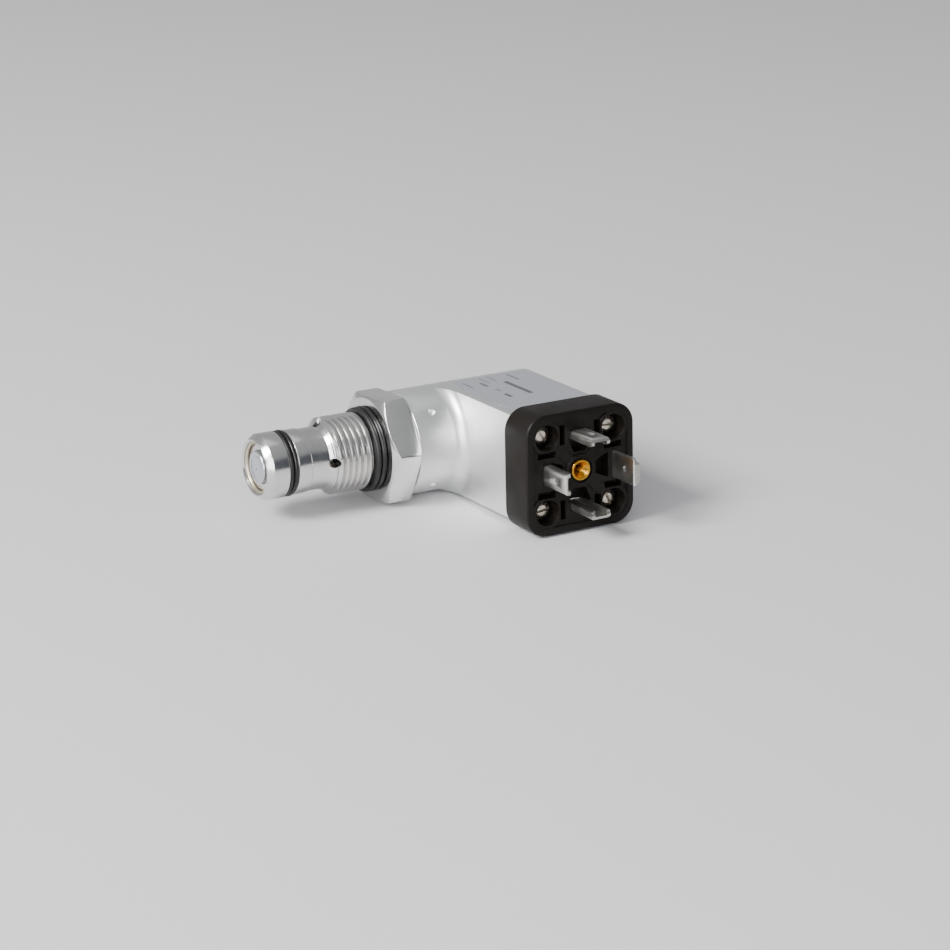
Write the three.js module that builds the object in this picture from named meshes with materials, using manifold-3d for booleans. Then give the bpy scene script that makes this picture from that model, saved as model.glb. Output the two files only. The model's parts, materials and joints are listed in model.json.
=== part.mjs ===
// Screw-in differential pressure cartridge with a square connector head.
//
// Frame, in millimetres: the cartridge axis is X, the nose points to -X and the origin is where the
// axis meets the face of the hexagon that seats on the port. The connector faces -Y, +Z is up.

import * as THREE from 'three';
import { mergeVertices } from 'three/addons/utils/BufferGeometryUtils.js';
import Module from 'manifold-3d';

const wasm = await Module();
wasm.setup();

// ---------------------------------------------------------------- clearances

const SEAT_GAP = 0.05;          // between faces that rest on each other
const RUNNING_GAP = 0.1;        // radial, of a piece that slides or turns in another
const SEAL_GAP = 0.1;           // between a seal and the groove that holds it
const SCREW_GAP = 0.1;          // radial, of a screw in its hole
const HOLE_SPARE_DEPTH = 0.2;   // of a blind hole past its screw

// ---------------------------------------------------------------- cartridge, outside

const THREAD_DIAMETER = 18;
const THREAD_PITCH = 1.5;
const THREAD_LENGTH = 10.4;
const HEXAGON_ACROSS_FLATS = 24;
const HEXAGON_THICKNESS = 7;
const HEXAGON_CHAMFER_ANGLE = THREE.MathUtils.degToRad(30);
const HEXAGON_FACE_MARGIN = 0.3;    // the turned face ends this far inside the flats
const HEXAGON_TURN = THREE.MathUtils.degToRad(-2.3);     // about the axis, against the head
const SEAT_GROOVE_WIDTH = 2.8;
const SEAT_GROOVE_DEPTH = 1.2;      // below the thread crests
const SEAT_SEAL_PROUD = 1.05;       // above the thread crests
const BARREL_REAR_DIAMETER = 14.4;
const BARREL_REAR_LENGTH = 4.9;
const BARREL_FRONT_DIAMETER = 14.9;
const BARREL_FRONT_LENGTH = 3.2;
const NOSE_DIAMETER = 15.3;
const NOSE_GROOVE_WIDTH = 2.4;
const NOSE_GROOVE_DEPTH = 1.45;
const NOSE_SEAL_PROUD = 0.12;
const NOSE_LAND_LENGTH = 3.9;
const NOSE_CHAMFER_LENGTH = 1.4;
const NOSE_RIM_DIAMETER = 13;
const CROSS_HOLE_DIAMETER = 2.2;
const CROSS_HOLE_COUNT = 4;
const SPIGOT_DIAMETER = 18;
const SPIGOT_LENGTH = 8.2;          // behind the hexagon
const SPIGOT_WALL = 1.8;            // closed end ahead of the reed capsule
const SPIGOT_EDGE = 0.5;
const NECK_SEAL_WIDTH = 1.8;
const NECK_SEAL_DEPTH = 1.5;

// ---------------------------------------------------------------- cartridge, inside

const PISTON_DIAMETER = 7.6;
const PISTON_SETBACK = 0.5;         // of the piston's face behind the nose rim
const PISTON_LENGTH = 9.5;
const PISTON_TRAVEL = 3;
const PISTON_GROOVE_WIDTH = 1.5;
const PISTON_GROOVE_DEPTH = 1;
const PISTON_DIMPLE_DIAMETER = 0.9;
const STEM_DIAMETER = 3.2;
const STEM_TIP_DIAMETER = 2;
const BUSH_DIAMETER = 11.8;
const BUSH_THICKNESS = 1.9;
const BUSH_SETBACK = 1.4;           // of the guide bush's face behind the nose rim
const SNAP_RING_WIRE = 0.8;
const SNAP_RING_GAP_ANGLE = THREE.MathUtils.degToRad(24);
const SPRING_WIRE = 0.6;
const SPRING_OUTER_DIAMETER = 6.8;
const SPRING_LENGTH = 13;
const SPRING_TURNS = 6;
const SPRING_WASHER_THICKNESS = 0.7;
const MAGNET_DIAMETER = 5.2;
const MAGNET_LENGTH = 4;
const MAGNET_BORE_GAP = 0.3;
const MAGNET_CLIP_THICKNESS = 0.5;
const MAGNET_CLIP_DIAMETER = 4;
const STEM_TIP_PROUD = 0.3;         // past the magnet's clip
const STROKE_RESERVE = 0.6;         // left ahead of the stem at full travel

// ---------------------------------------------------------------- housing

const HOUSING_HEIGHT = 24.4;        // also the diameter of the neck and of the round back
const HOUSING_WIDTH = 24;
const HOUSING_DEPTH = 32.3;         // from the cartridge axis to the connector's seat
const HOUSING_WALL = 2.8;           // behind the reed capsule
const NECK_LENGTH = 12;
const NECK_GAP = 0.2;               // between the neck and the hexagon
const NECK_FILLET = 3;
const CAVITY_DIAMETER = 18.6;
const STAKE_COUNT = 4;
const STAKE_DIAMETER = 1.6;
const STAKE_DEPTH = 0.7;
const STAKE_SETBACK = 5;            // from the neck's free end
const STAKE_GROOVE_WIDTH = 1.9;
const STAKE_GROOVE_DEPTH = 0.8;
const STAKE_OVERLAP = 0.45;         // how far a stake reaches into the spigot's groove
const LABEL_MARGIN_SIDE = 2.6;
const LABEL_MARGIN_END = 1;
const LABEL_THICKNESS = 0.08;

// ---------------------------------------------------------------- connector

const BASE_SIZE = 28;
const BASE_CORNER = 5;
const BASE_THICKNESS = 9.4;
const BASE_FIELD_SETBACK = 0.5;     // of the inner field behind the rim
const BASE_FIELD_SIZE = 24.6;
const BASE_BOSS_LENGTH = 2.6;       // of the round boss inside the housing
const GASKET_THICKNESS = 0.5;
const GASKET_SIZE = 27.4;
const FLANGE_SCREW_PITCH = 17.3;
const FLANGE_SCREW_DIAMETER = 2.5;
const FLANGE_SCREW_HEAD = 4.4;
const FLANGE_SCREW_HEAD_HEIGHT = 1.6;
const FLANGE_SCREW_LENGTH = 12;
const FLANGE_SCREW_SETBACK = 2.6;   // of the head behind the rim
const SCREW_SLOT_WIDTH = 0.7;
const SCREW_SLOT_DEPTH = 0.7;
const SCREW_SLOT_TURNS = [-50, -7, -65, 8];
const SCREW_POCKET_DIAMETER = 5.8;
const SCREW_POCKET_RIM = 7.8;
const CONTACT_PITCH = 18;
const CONTACT_WIDTH = 4.8;
const CONTACT_THICKNESS = 0.8;
const CONTACT_LEG = 1.9;
const CONTACT_REACH = 8.5;          // in front of the rim
const CONTACT_HOLE_SETBACK = 3.7;   // of the hole from the contact's tip
const CONTACT_HOLE_DIAMETER = 1.4;
const EARTH_WIDTH = 6.3;
const EARTH_REACH = 9.3;
const EARTH_CORNER = 1;
const CONTACT_FLOOR = 3;            // of the base behind the contacts
const CONTACT_FOOT = 3;             // bend of the contact towards the middle
const LUG_WIDTH = 2;
const LUG_LENGTH = 8;
const CENTRE_BOSS_DIAMETER = 7.4;
const INSERT_DIAMETER = 4.8;
const INSERT_COLLAR = 6;
const INSERT_LENGTH = 6.6;
const INSERT_PROUD = 0.2;
const CENTRE_SCREW_BORE = 2.6;
const WELL_DEPTH = 3;
const WELL_INNER = 4.2;
const WELL_INNER_WIDTH = 3;
const WELL_OUTER_WIDTH = 6;
const BASE_ARM_WIDTH = 2.5;
const BASE_ARM_REACH = 14.76;       // along the diagonal, from the middle
const BASE_ARM_SETBACK = 0.15;      // of the arms behind the rim
const CORE_SLOT_LENGTH = 4.5;
const CORE_SLOT_WIDTH = 1.5;
const CORE_SLOT_DEPTH = 2.5;
const CORE_SLOT_INNER = 6.4;
const CORE_SLOT_ASIDE = 4.6;

// ---------------------------------------------------------------- reed switch and leads

const REED_DIAMETER = 2.4;
const REED_LENGTH = 12;
const REED_LEAD_DIAMETER = 0.6;
const REED_LEAD_LENGTH = 1.6;
const REED_SETBACK = 3.5;           // of the board's tongue behind the cartridge
const BOARD_THICKNESS = 1;
const BOARD_SIDE_GAP = 1.8;         // from the board's long edges to the wall of the bore
const HOLDER_THICKNESS = 1.2;
const HOLDER_RIM = 2.4;
const HOLDER_LENGTH = 3;
const WIRE_DIAMETER = 1.1;
const PAD_OFFSET = 3;               // of the board's pads from the connector's axis
const EARTH_SCREW_DIAMETER = 2.5;
const EARTH_SCREW_HEAD = 4.4;
const EARTH_SCREW_LENGTH = 1.9;
const EARTH_SCREW_HEAD_HEIGHT = 1.2;
const EARTH_SCREW_RISE = 4.55;      // above the cartridge axis
const EARTH_EYELET_THICKNESS = 0.5;
const EARTH_EYELET_MARGIN = 0.3;    // past the screw's head
const EARTH_CRIMP_LENGTH = 1.8;

// ---------------------------------------------------------------- places along the axis

const threadRadius = THREAD_DIAMETER / 2;
const threadDepth = 0.6134 * THREAD_PITCH;
const threadRootRadius = threadRadius - threadDepth;
const seatGrooveX = -SEAT_GROOVE_WIDTH;
const threadEndX = seatGrooveX - THREAD_LENGTH;
const barrelStepX = threadEndX - BARREL_REAR_LENGTH;
const noseGrooveRearX = barrelStepX - BARREL_FRONT_LENGTH;
const noseGrooveFrontX = noseGrooveRearX - NOSE_GROOVE_WIDTH;
const noseChamferX = noseGrooveFrontX - NOSE_LAND_LENGTH;
const noseRimX = noseChamferX - NOSE_CHAMFER_LENGTH;

const pistonBoreRadius = PISTON_DIAMETER / 2 + RUNNING_GAP;
const pistonFaceX = noseRimX + PISTON_SETBACK;
const pistonRearX = pistonFaceX + PISTON_LENGTH;
const bushFaceX = noseRimX + BUSH_SETBACK;
const bushSeatX = bushFaceX + BUSH_THICKNESS + SEAT_GAP;
const recessRadius = BUSH_DIAMETER / 2 + SEAT_GAP;
const snapRingX = bushFaceX - SNAP_RING_WIRE / 2 - SEAT_GAP;
const springRearX = pistonRearX + SEAT_GAP + SPRING_LENGTH;
const washerRearX = springRearX + SEAT_GAP + SPRING_WASHER_THICKNESS;
const boreStepX = washerRearX + SEAT_GAP;
const magnetBoreRadius = MAGNET_DIAMETER / 2 + MAGNET_BORE_GAP;
const hexagonRearX = HEXAGON_THICKNESS;
const spigotEndX = hexagonRearX + SPIGOT_LENGTH;
const boreEndX = spigotEndX - SPIGOT_WALL;
const stemEndX = boreEndX - STROKE_RESERVE - PISTON_TRAVEL;
const clipRearX = stemEndX - STEM_TIP_PROUD;
const magnetRearX = clipRearX - MAGNET_CLIP_THICKNESS - SEAT_GAP;
const magnetFrontX = magnetRearX - MAGNET_LENGTH;

const neckStartX = hexagonRearX + NECK_GAP;
const neckSealEndX = hexagonRearX + NECK_SEAL_WIDTH;
const blockStartX = neckStartX + NECK_LENGTH;
const blockEndX = blockStartX + HOUSING_WIDTH;
const connectorX = (blockStartX + blockEndX) / 2;
const stakeX = neckStartX + STAKE_SETBACK;
const housingRadius = HOUSING_HEIGHT / 2;
const housingBoreRadius = SPIGOT_DIAMETER / 2 + RUNNING_GAP;
const cavityEndX = blockEndX - HOUSING_WALL;

// ---------------------------------------------------------------- places along the connector

const gasketFront = SEAT_GAP + GASKET_THICKNESS;
const baseBack = gasketFront + SEAT_GAP;
const baseFront = baseBack + BASE_THICKNESS;
const baseField = baseFront - BASE_FIELD_SETBACK;
const baseBossRadius = CAVITY_DIAMETER / 2 - 0.3;
const contactBack = baseBack + CONTACT_FLOOR;
const screwSeat = baseFront - FLANGE_SCREW_SETBACK - FLANGE_SCREW_HEAD_HEIGHT;
const insertBack = baseFront + INSERT_PROUD - INSERT_LENGTH;

// ---------------------------------------------------------------- solids

const ROUND = 32;               // facets of a large turned piece
const MIDDLE_ROUND = 20;
const SMALL_ROUND = 12;
const OVAL_STEPS = 6;           // corners of a seal's section
const THREAD_STEPS = ROUND;     // sections of the thread tooth in one turn

// A geometry with shared corners, no empty triangles and its faces turned outwards.
function closedMesh(geometry) {
  const bare = geometry.clone();
  bare.deleteAttribute('normal');
  bare.deleteAttribute('uv');
  const merged = mergeVertices(bare, 1e-4);
  const corners = merged.attributes.position.array;
  const index = [];
  let volume = 0;
  for (let i = 0; i < merged.index.count; i += 3) {
    const [a, b, c] = [0, 1, 2].map((k) => merged.index.getX(i + k));
    if (a === b || b === c || c === a) continue;
    index.push(a, b, c);
    const [pa, pb, pc] = [a, b, c].map((k) => new THREE.Vector3().fromArray(corners, 3 * k));
    volume += pa.dot(pb.cross(pc));
  }
  if (volume < 0) index.reverse();
  return { corners: new Float32Array(corners), index: new Uint32Array(index) };
}

function solid(geometry) {
  const { corners, index } = closedMesh(geometry);
  return new wasm.Manifold(new wasm.Mesh({ numProp: 3, vertProperties: corners, triVerts: index }));
}

function geometryOf(body) {
  const mesh = body.getMesh();
  const geometry = new THREE.BufferGeometry();
  geometry.setAttribute('position', new THREE.BufferAttribute(mesh.vertProperties, 3));
  geometry.setIndex(new THREE.BufferAttribute(mesh.triVerts, 1));
  geometry.computeVertexNormals();
  return geometry;
}

const cutAll = (body, tools) => tools.reduce((rest, tool) => rest.subtract(tool), body);
const joinAll = (bodies) => bodies.reduce((whole, body) => whole.add(body));

// Turned solid about the X axis from a profile of [x, radius] points.
function turnedX(profile, facets = ROUND) {
  const points = profile.map(([x, radius]) => new THREE.Vector2(radius, x));
  return solid(new THREE.LatheGeometry(points, facets).rotateZ(-Math.PI / 2));
}

// Turned solid about the Z axis from a profile of [z, radius] points.
function turnedZ(profile, facets = SMALL_ROUND) {
  const points = profile.map(([z, radius]) => new THREE.Vector2(radius, z));
  return solid(new THREE.LatheGeometry(points, facets).rotateX(Math.PI / 2));
}

const rodX = (x0, x1, radius, facets) => turnedX([[x0, 0], [x0, radius], [x1, radius], [x1, 0]], facets);
const rodZ = (z0, z1, radius, facets) => turnedZ([[z0, 0], [z0, radius], [z1, radius], [z1, 0]], facets);

function washerX(x0, x1, inner, outer, facets) {
  return turnedX([[x0, inner], [x0, outer], [x1, outer], [x1, inner], [x0, inner]], facets);
}

// Ring with an oval section, as a rubber ring has in its groove.
function oRingX(x0, x1, inner, outer, facets = ROUND) {
  const section = [];
  for (let i = 0; i <= OVAL_STEPS; i += 1) {
    const angle = (2 * Math.PI * i) / OVAL_STEPS;
    section.push([
      (x0 + x1) / 2 + ((x1 - x0) / 2) * Math.cos(angle),
      (inner + outer) / 2 + ((outer - inner) / 2) * Math.sin(angle),
    ]);
  }
  return turnedX(section, facets);
}

function box(x0, x1, y0, y1, z0, z1) {
  const geometry = new THREE.BoxGeometry(x1 - x0, y1 - y0, z1 - z0);
  return solid(geometry.translate((x0 + x1) / 2, (y0 + y1) / 2, (z0 + z1) / 2));
}

// Plate between z0 and z1 with an outline of [x, y] points.
function plate(outline, z0, z1) {
  const shape = new THREE.Shape(outline.map(([x, y]) => new THREE.Vector2(x, y)));
  const geometry = new THREE.ExtrudeGeometry(shape, { depth: z1 - z0, bevelEnabled: false });
  return solid(geometry.translate(0, 0, z0));
}

function roundedSquare(size, corner, z0, z1) {
  const half = size / 2;
  const shape = new THREE.Shape();
  [[1, 1], [-1, 1], [-1, -1], [1, -1]].forEach(([sx, sy], i) => {
    const start = (i * Math.PI) / 2;
    shape.absarc(sx * (half - corner), sy * (half - corner), corner, start, start + Math.PI / 2);
  });
  const options = { depth: z1 - z0, bevelEnabled: false, curveSegments: 8 };
  return solid(new THREE.ExtrudeGeometry(shape, options).translate(0, 0, z0));
}

// Tube of round section along a smooth curve through the points.
function tube(points, diameter, steps, sides = 8) {
  const section = new THREE.Shape();
  for (let i = 0; i < sides; i += 1) {
    const angle = (2 * Math.PI * i) / sides;
    const corner = [(diameter / 2) * Math.cos(angle), (diameter / 2) * Math.sin(angle)];
    if (i === 0) section.moveTo(...corner);
    else section.lineTo(...corner);
  }
  const path = new THREE.CatmullRomCurve3(points.map((point) => new THREE.Vector3(...point)));
  return new THREE.ExtrudeGeometry(section, { steps, extrudePath: path });
}

function turnedCopy(body, axis, angle) {
  return solid(geometryOf(body).applyMatrix4(new THREE.Matrix4().makeRotationAxis(axis, angle)));
}

function movedCopy(body, x, y, z) {
  return solid(geometryOf(body).translate(x, y, z));
}

const AXIS_X = new THREE.Vector3(1, 0, 0);
const AXIS_Z = new THREE.Vector3(0, 0, 1);

// ---------------------------------------------------------------- materials

const ALUMINIUM = { color: 0xd4d6d8, roughness: 0.28, metalness: 1 };
const SATIN_ALUMINIUM = { color: 0xc3c9d0, roughness: 0.4, metalness: 1 };
const STEEL = { color: 0xb9bcbf, roughness: 0.3, metalness: 1 };
const NICKEL = { color: 0xc9c4b8, roughness: 0.3, metalness: 1 };
const TINNED = { color: 0xbfc2c0, roughness: 0.35, metalness: 1 };
const BRASS = { color: 0xd2a03c, roughness: 0.25, metalness: 1 };
const BRONZE = { color: 0xa5825a, roughness: 0.35, metalness: 1 };
const RUBBER = { color: 0x141416, roughness: 0.45, metalness: 0 };
const HARD_RUBBER = { color: 0x1c1b1b, roughness: 0.55, metalness: 0 };
const GASKET_RUBBER = { color: 0x5a2c22, roughness: 0.7, metalness: 0 };
const BLACK_NYLON = { color: 0x232221, roughness: 0.6, metalness: 0 };
const FERRITE = { color: 0x3b3b3f, roughness: 0.6, metalness: 0.3 };
const GLASS = { color: 0xb9d3c6, roughness: 0.08, metalness: 0 };
const BOARD = { color: 0x2f6a45, roughness: 0.5, metalness: 0 };
const FOIL = { color: 0xb4bbc6, roughness: 0.45, metalness: 0.5 };

const object = new THREE.Group();

function piece(name, shape, finish, parent = object) {
  const geometry = shape.isBufferGeometry ? shape : geometryOf(shape);
  const mesh = new THREE.Mesh(geometry, new THREE.MeshStandardMaterial(finish));
  mesh.name = name;
  parent.add(mesh);
  return mesh;
}

// ---------------------------------------------------------------- cartridge body

// One helical thread tooth, from a trapezoid carried round and along the axis.
function threadTooth(x0, x1) {
  const sink = 0.3;
  const rootHalf = THREAD_PITCH * 0.44;
  const crestHalf = THREAD_PITCH * 0.07;
  const section = [
    [-rootHalf, threadRootRadius - sink],
    [-crestHalf, threadRadius],
    [crestHalf, threadRadius],
    [rootHalf, threadRootRadius - sink],
  ];
  const steps = Math.round(((x1 - x0) / THREAD_PITCH) * THREAD_STEPS);
  const positions = [];
  for (let i = 0; i <= steps; i += 1) {
    const angle = (2 * Math.PI * i) / THREAD_STEPS;
    const middle = x0 + (THREAD_PITCH * i) / THREAD_STEPS;
    for (const [dx, radius] of section) {
      positions.push(middle + dx, radius * Math.cos(angle), radius * Math.sin(angle));
    }
  }
  const index = [0, 2, 1, 0, 3, 2];
  for (let i = 0; i < steps; i += 1) {
    for (let k = 0; k < 4; k += 1) {
      const near = 4 * i + k;
      const next = 4 * i + ((k + 1) % 4);
      index.push(near, next, near + 4, next, next + 4, near + 4);
    }
  }
  const last = 4 * steps;
  index.push(last, last + 1, last + 2, last, last + 2, last + 3);
  const geometry = new THREE.BufferGeometry();
  geometry.setAttribute('position', new THREE.Float32BufferAttribute(positions, 3));
  geometry.setIndex(index);
  return solid(geometry);
}

// The teeth are cut back by the lead-in chamfer at the nose end and run out at the seal groove.
function thread() {
  const chamfer = threadRadius - BARREL_REAR_DIAMETER / 2;
  const tooth = threadTooth(threadEndX + THREAD_PITCH / 2, seatGrooveX + THREAD_PITCH / 2);
  const envelope = turnedX([
    [threadEndX, 0],
    [threadEndX, threadRadius - chamfer],
    [threadEndX + chamfer, threadRadius + SEAT_GAP],
    [seatGrooveX - 0.4, threadRadius + SEAT_GAP],
    [seatGrooveX, threadRootRadius],
    [seatGrooveX, 0],
  ]);
  return tooth.intersect(envelope);
}

function hexagon() {
  const corner = HEXAGON_ACROSS_FLATS / Math.sqrt(3);
  const face = HEXAGON_ACROSS_FLATS / 2 - HEXAGON_FACE_MARGIN;
  const rise = (corner - face) * Math.tan(HEXAGON_CHAMFER_ANGLE);
  const outline = Array.from({ length: 6 }, (_, i) => {
    const angle = (i * Math.PI) / 3;
    return [corner * Math.sin(angle), corner * Math.cos(angle)];
  });
  const prism = plate(outline, 0, HEXAGON_THICKNESS);
  const lying = solid(geometryOf(prism).rotateY(Math.PI / 2));
  const turned = turnedCopy(lying, AXIS_X, HEXAGON_TURN);
  const envelope = turnedX([
    [0, 0],
    [0, face],
    [rise, corner],
    [HEXAGON_THICKNESS - rise / 2, corner],
    [HEXAGON_THICKNESS, corner - rise / 2 / Math.tan(HEXAGON_CHAMFER_ANGLE)],
    [HEXAGON_THICKNESS, 0],
  ]);
  return turned.intersect(envelope);
}

function cartridgeBody() {
  const nose = NOSE_DIAMETER / 2;
  const front = BARREL_FRONT_DIAMETER / 2;
  const rear = BARREL_REAR_DIAMETER / 2;
  const stepLength = front - rear;
  const seatGrooveRadius = threadRadius - SEAT_GROOVE_DEPTH;
  const spigot = SPIGOT_DIAMETER / 2;
  const core = turnedX([
    [noseRimX, 0],
    [noseRimX, NOSE_RIM_DIAMETER / 2],
    [noseChamferX, nose],
    [noseGrooveFrontX, nose],
    [noseGrooveFrontX, nose - NOSE_GROOVE_DEPTH],
    [noseGrooveRearX, nose - NOSE_GROOVE_DEPTH],
    [noseGrooveRearX, front],
    [barrelStepX, front],
    [barrelStepX + stepLength, rear],
    [threadEndX, rear],
    [threadEndX + threadRootRadius - rear, threadRootRadius],
    [seatGrooveX, threadRootRadius],
    [seatGrooveX, seatGrooveRadius],
    [SEAT_GAP, seatGrooveRadius],
    [SEAT_GAP, spigot - NECK_SEAL_DEPTH],
    [neckSealEndX, spigot - NECK_SEAL_DEPTH],
    [neckSealEndX, spigot],
    [spigotEndX - SPIGOT_EDGE, spigot],
    [spigotEndX, spigot - SPIGOT_EDGE],
    [spigotEndX, 0],
  ]);
  const stakeGroove = washerX(
    stakeX - STAKE_GROOVE_WIDTH / 2,
    stakeX + STAKE_GROOVE_WIDTH / 2,
    spigot - STAKE_GROOVE_DEPTH,
    spigot + 1,
  );
  const snapGrooveHalf = SNAP_RING_WIRE / 2 + SEAT_GAP;
  const bore = turnedX([
    [noseRimX - 1, 0],
    [noseRimX - 1, recessRadius],
    [snapRingX - snapGrooveHalf, recessRadius],
    [snapRingX - snapGrooveHalf, recessRadius + SNAP_RING_WIRE / 2],
    [snapRingX + snapGrooveHalf, recessRadius + SNAP_RING_WIRE / 2],
    [snapRingX + snapGrooveHalf, recessRadius],
    [bushSeatX, recessRadius],
    [bushSeatX, pistonBoreRadius],
    [boreStepX, pistonBoreRadius],
    [boreStepX, magnetBoreRadius],
    [boreEndX, magnetBoreRadius],
    [boreEndX, 0],
  ]);
  const crossHoles = Array.from({ length: CROSS_HOLE_COUNT }, (_, i) => {
    const drill = movedCopy(
      rodZ(0, threadRadius + 1, CROSS_HOLE_DIAMETER / 2),
      threadEndX + CROSS_HOLE_DIAMETER / 4, 0, 0,
    );
    return turnedCopy(drill, AXIS_X, HEXAGON_TURN + (i * 2 * Math.PI) / CROSS_HOLE_COUNT);
  });
  return cutAll(joinAll([core, thread(), hexagon()]), [bore, stakeGroove, ...crossHoles]);
}

piece('cartridge_body', cartridgeBody(), ALUMINIUM);

// ---------------------------------------------------------------- seals on the cartridge

function sealPair(frontName, rearName, x0, x1, inner, outer) {
  const middle = (x0 + x1) / 2;
  piece(frontName, oRingX(x0 + SEAL_GAP, middle - SEAL_GAP / 2, inner, outer - SEAL_GAP), HARD_RUBBER);
  piece(rearName, oRingX(middle + SEAL_GAP / 2, x1 - SEAL_GAP, inner, outer), RUBBER);
}

sealPair(
  'nose_backup_ring', 'nose_o_ring',
  noseGrooveFrontX, noseGrooveRearX,
  NOSE_DIAMETER / 2 - NOSE_GROOVE_DEPTH + SEAL_GAP,
  NOSE_DIAMETER / 2 + NOSE_SEAL_PROUD,
);
sealPair(
  'seat_backup_ring', 'seat_o_ring',
  seatGrooveX, 0,
  threadRadius - SEAT_GROOVE_DEPTH + SEAL_GAP,
  threadRadius + SEAT_SEAL_PROUD,
);

// ---------------------------------------------------------------- inside the cartridge

function snapRing() {
  const points = Array.from({ length: 25 }, (_, i) => {
    const sweep = 2 * Math.PI - SNAP_RING_GAP_ANGLE;
    const angle = Math.PI / 2 + SNAP_RING_GAP_ANGLE / 2 + (i / 24) * sweep;
    const radius = recessRadius - SEAL_GAP;
    return [snapRingX, radius * Math.cos(angle), radius * Math.sin(angle)];
  });
  return tube(points, SNAP_RING_WIRE, 36, 6);
}

function guideBush() {
  const edge = 0.3;
  return turnedX([
    [bushFaceX, pistonBoreRadius],
    [bushFaceX, BUSH_DIAMETER / 2 - edge],
    [bushFaceX + edge, BUSH_DIAMETER / 2],
    [bushFaceX + BUSH_THICKNESS, BUSH_DIAMETER / 2],
    [bushFaceX + BUSH_THICKNESS, pistonBoreRadius],
    [bushFaceX, pistonBoreRadius],
  ]);
}

const pistonRadius = PISTON_DIAMETER / 2;
const pistonGrooveX = (pistonFaceX + pistonRearX) / 2;
const pistonGrooveEndX = pistonGrooveX + PISTON_GROOVE_WIDTH;

function sensingPiston() {
  const edge = 0.25;
  const dimple = PISTON_DIMPLE_DIAMETER / 2;
  return turnedX([
    [pistonFaceX + dimple, 0],
    [pistonFaceX, dimple],
    [pistonFaceX, pistonRadius - edge],
    [pistonFaceX + edge, pistonRadius],
    [pistonGrooveX, pistonRadius],
    [pistonGrooveX, pistonRadius - PISTON_GROOVE_DEPTH],
    [pistonGrooveEndX, pistonRadius - PISTON_GROOVE_DEPTH],
    [pistonGrooveEndX, pistonRadius],
    [pistonRearX, pistonRadius],
    [pistonRearX, STEM_DIAMETER / 2],
    [magnetFrontX - SEAT_GAP, STEM_DIAMETER / 2],
    [magnetFrontX - SEAT_GAP, STEM_TIP_DIAMETER / 2],
    [stemEndX, STEM_TIP_DIAMETER / 2],
    [stemEndX, 0],
  ], MIDDLE_ROUND);
}

class Helix extends THREE.Curve {
  constructor(x0, x1, radius, turns) {
    super();
    Object.assign(this, { x0, x1, radius, turns });
  }

  getPoint(t, target = new THREE.Vector3()) {
    const angle = 2 * Math.PI * this.turns * t;
    const x = this.x0 + (this.x1 - this.x0) * t;
    return target.set(x, this.radius * Math.cos(angle), this.radius * Math.sin(angle));
  }
}

function pistonSpring() {
  const x0 = pistonRearX + SEAT_GAP + SPRING_WIRE / 2;
  const x1 = springRearX - SPRING_WIRE / 2;
  const radius = (SPRING_OUTER_DIAMETER - SPRING_WIRE) / 2;
  const section = new THREE.Shape().absarc(0, 0, SPRING_WIRE / 2, 0, 2 * Math.PI);
  const path = new Helix(x0, x1, radius, SPRING_TURNS);
  const options = { steps: 12 * SPRING_TURNS, curveSegments: 3, extrudePath: path };
  return new THREE.ExtrudeGeometry(section, options);
}

const stemClearance = STEM_DIAMETER / 2 + RUNNING_GAP;
const tipClearance = STEM_TIP_DIAMETER / 2 + SEAT_GAP;

piece('snap_ring', snapRing(), BRONZE);
piece('guide_bush', guideBush(), ALUMINIUM);
piece('sensing_piston', sensingPiston(), STEEL);
piece('piston_seal', oRingX(
  pistonGrooveX + SEAL_GAP, pistonGrooveEndX - SEAL_GAP,
  pistonRadius - PISTON_GROOVE_DEPTH + SEAL_GAP, pistonRadius, MIDDLE_ROUND,
), RUBBER);
piece('piston_spring', pistonSpring(), STEEL);
piece('spring_washer', washerX(
  springRearX + SEAT_GAP, washerRearX, stemClearance, pistonBoreRadius - RUNNING_GAP, MIDDLE_ROUND,
), STEEL);
piece('magnet', washerX(
  magnetFrontX, magnetRearX, tipClearance, MAGNET_DIAMETER / 2, MIDDLE_ROUND,
), FERRITE);
piece('magnet_clip', washerX(
  clipRearX - MAGNET_CLIP_THICKNESS, clipRearX, tipClearance, MAGNET_CLIP_DIAMETER / 2, MIDDLE_ROUND,
), STEEL);
piece('neck_seal', oRingX(
  neckStartX + SEAL_GAP, neckSealEndX - SEAL_GAP,
  SPIGOT_DIAMETER / 2 - NECK_SEAL_DEPTH + SEAL_GAP, SPIGOT_DIAMETER / 2,
), RUBBER);

// ---------------------------------------------------------------- housing

// Concave ring between the neck and the flat side of the block, on the connector's side only.
function neckFillet() {
  const sink = 0.3;
  const x0 = blockStartX - NECK_FILLET;
  const arc = Array.from({ length: 9 }, (_, i) => {
    const angle = (i / 8) * (Math.PI / 2);
    return [
      x0 + NECK_FILLET * Math.sin(angle),
      housingRadius + NECK_FILLET * (1 - Math.cos(angle)),
    ];
  });
  const ring = turnedX([
    [x0, housingRadius - sink],
    ...arc,
    [blockStartX + sink, housingRadius + NECK_FILLET],
    [blockStartX + sink, housingRadius - sink],
    [x0, housingRadius - sink],
  ]);
  const side = box(x0 - 1, blockStartX + sink, -HOUSING_DEPTH, 0, -housingRadius, housingRadius);
  return ring.intersect(side);
}

const stakeAngles = Array.from({ length: STAKE_COUNT }, (_, i) => (
  Math.PI / STAKE_COUNT + (i * 2 * Math.PI) / STAKE_COUNT
));

function stakeDimple(angle) {
  const profile = [
    [housingRadius - STAKE_DEPTH, 0],
    [housingRadius - STAKE_DEPTH, STAKE_DIAMETER / 4],
    [housingRadius + 0.2, STAKE_DIAMETER / 2],
    [housingRadius + 0.2, 0],
  ];
  return turnedCopy(movedCopy(turnedZ(profile, SMALL_ROUND), stakeX, 0, 0), AXIS_X, angle);
}

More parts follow.
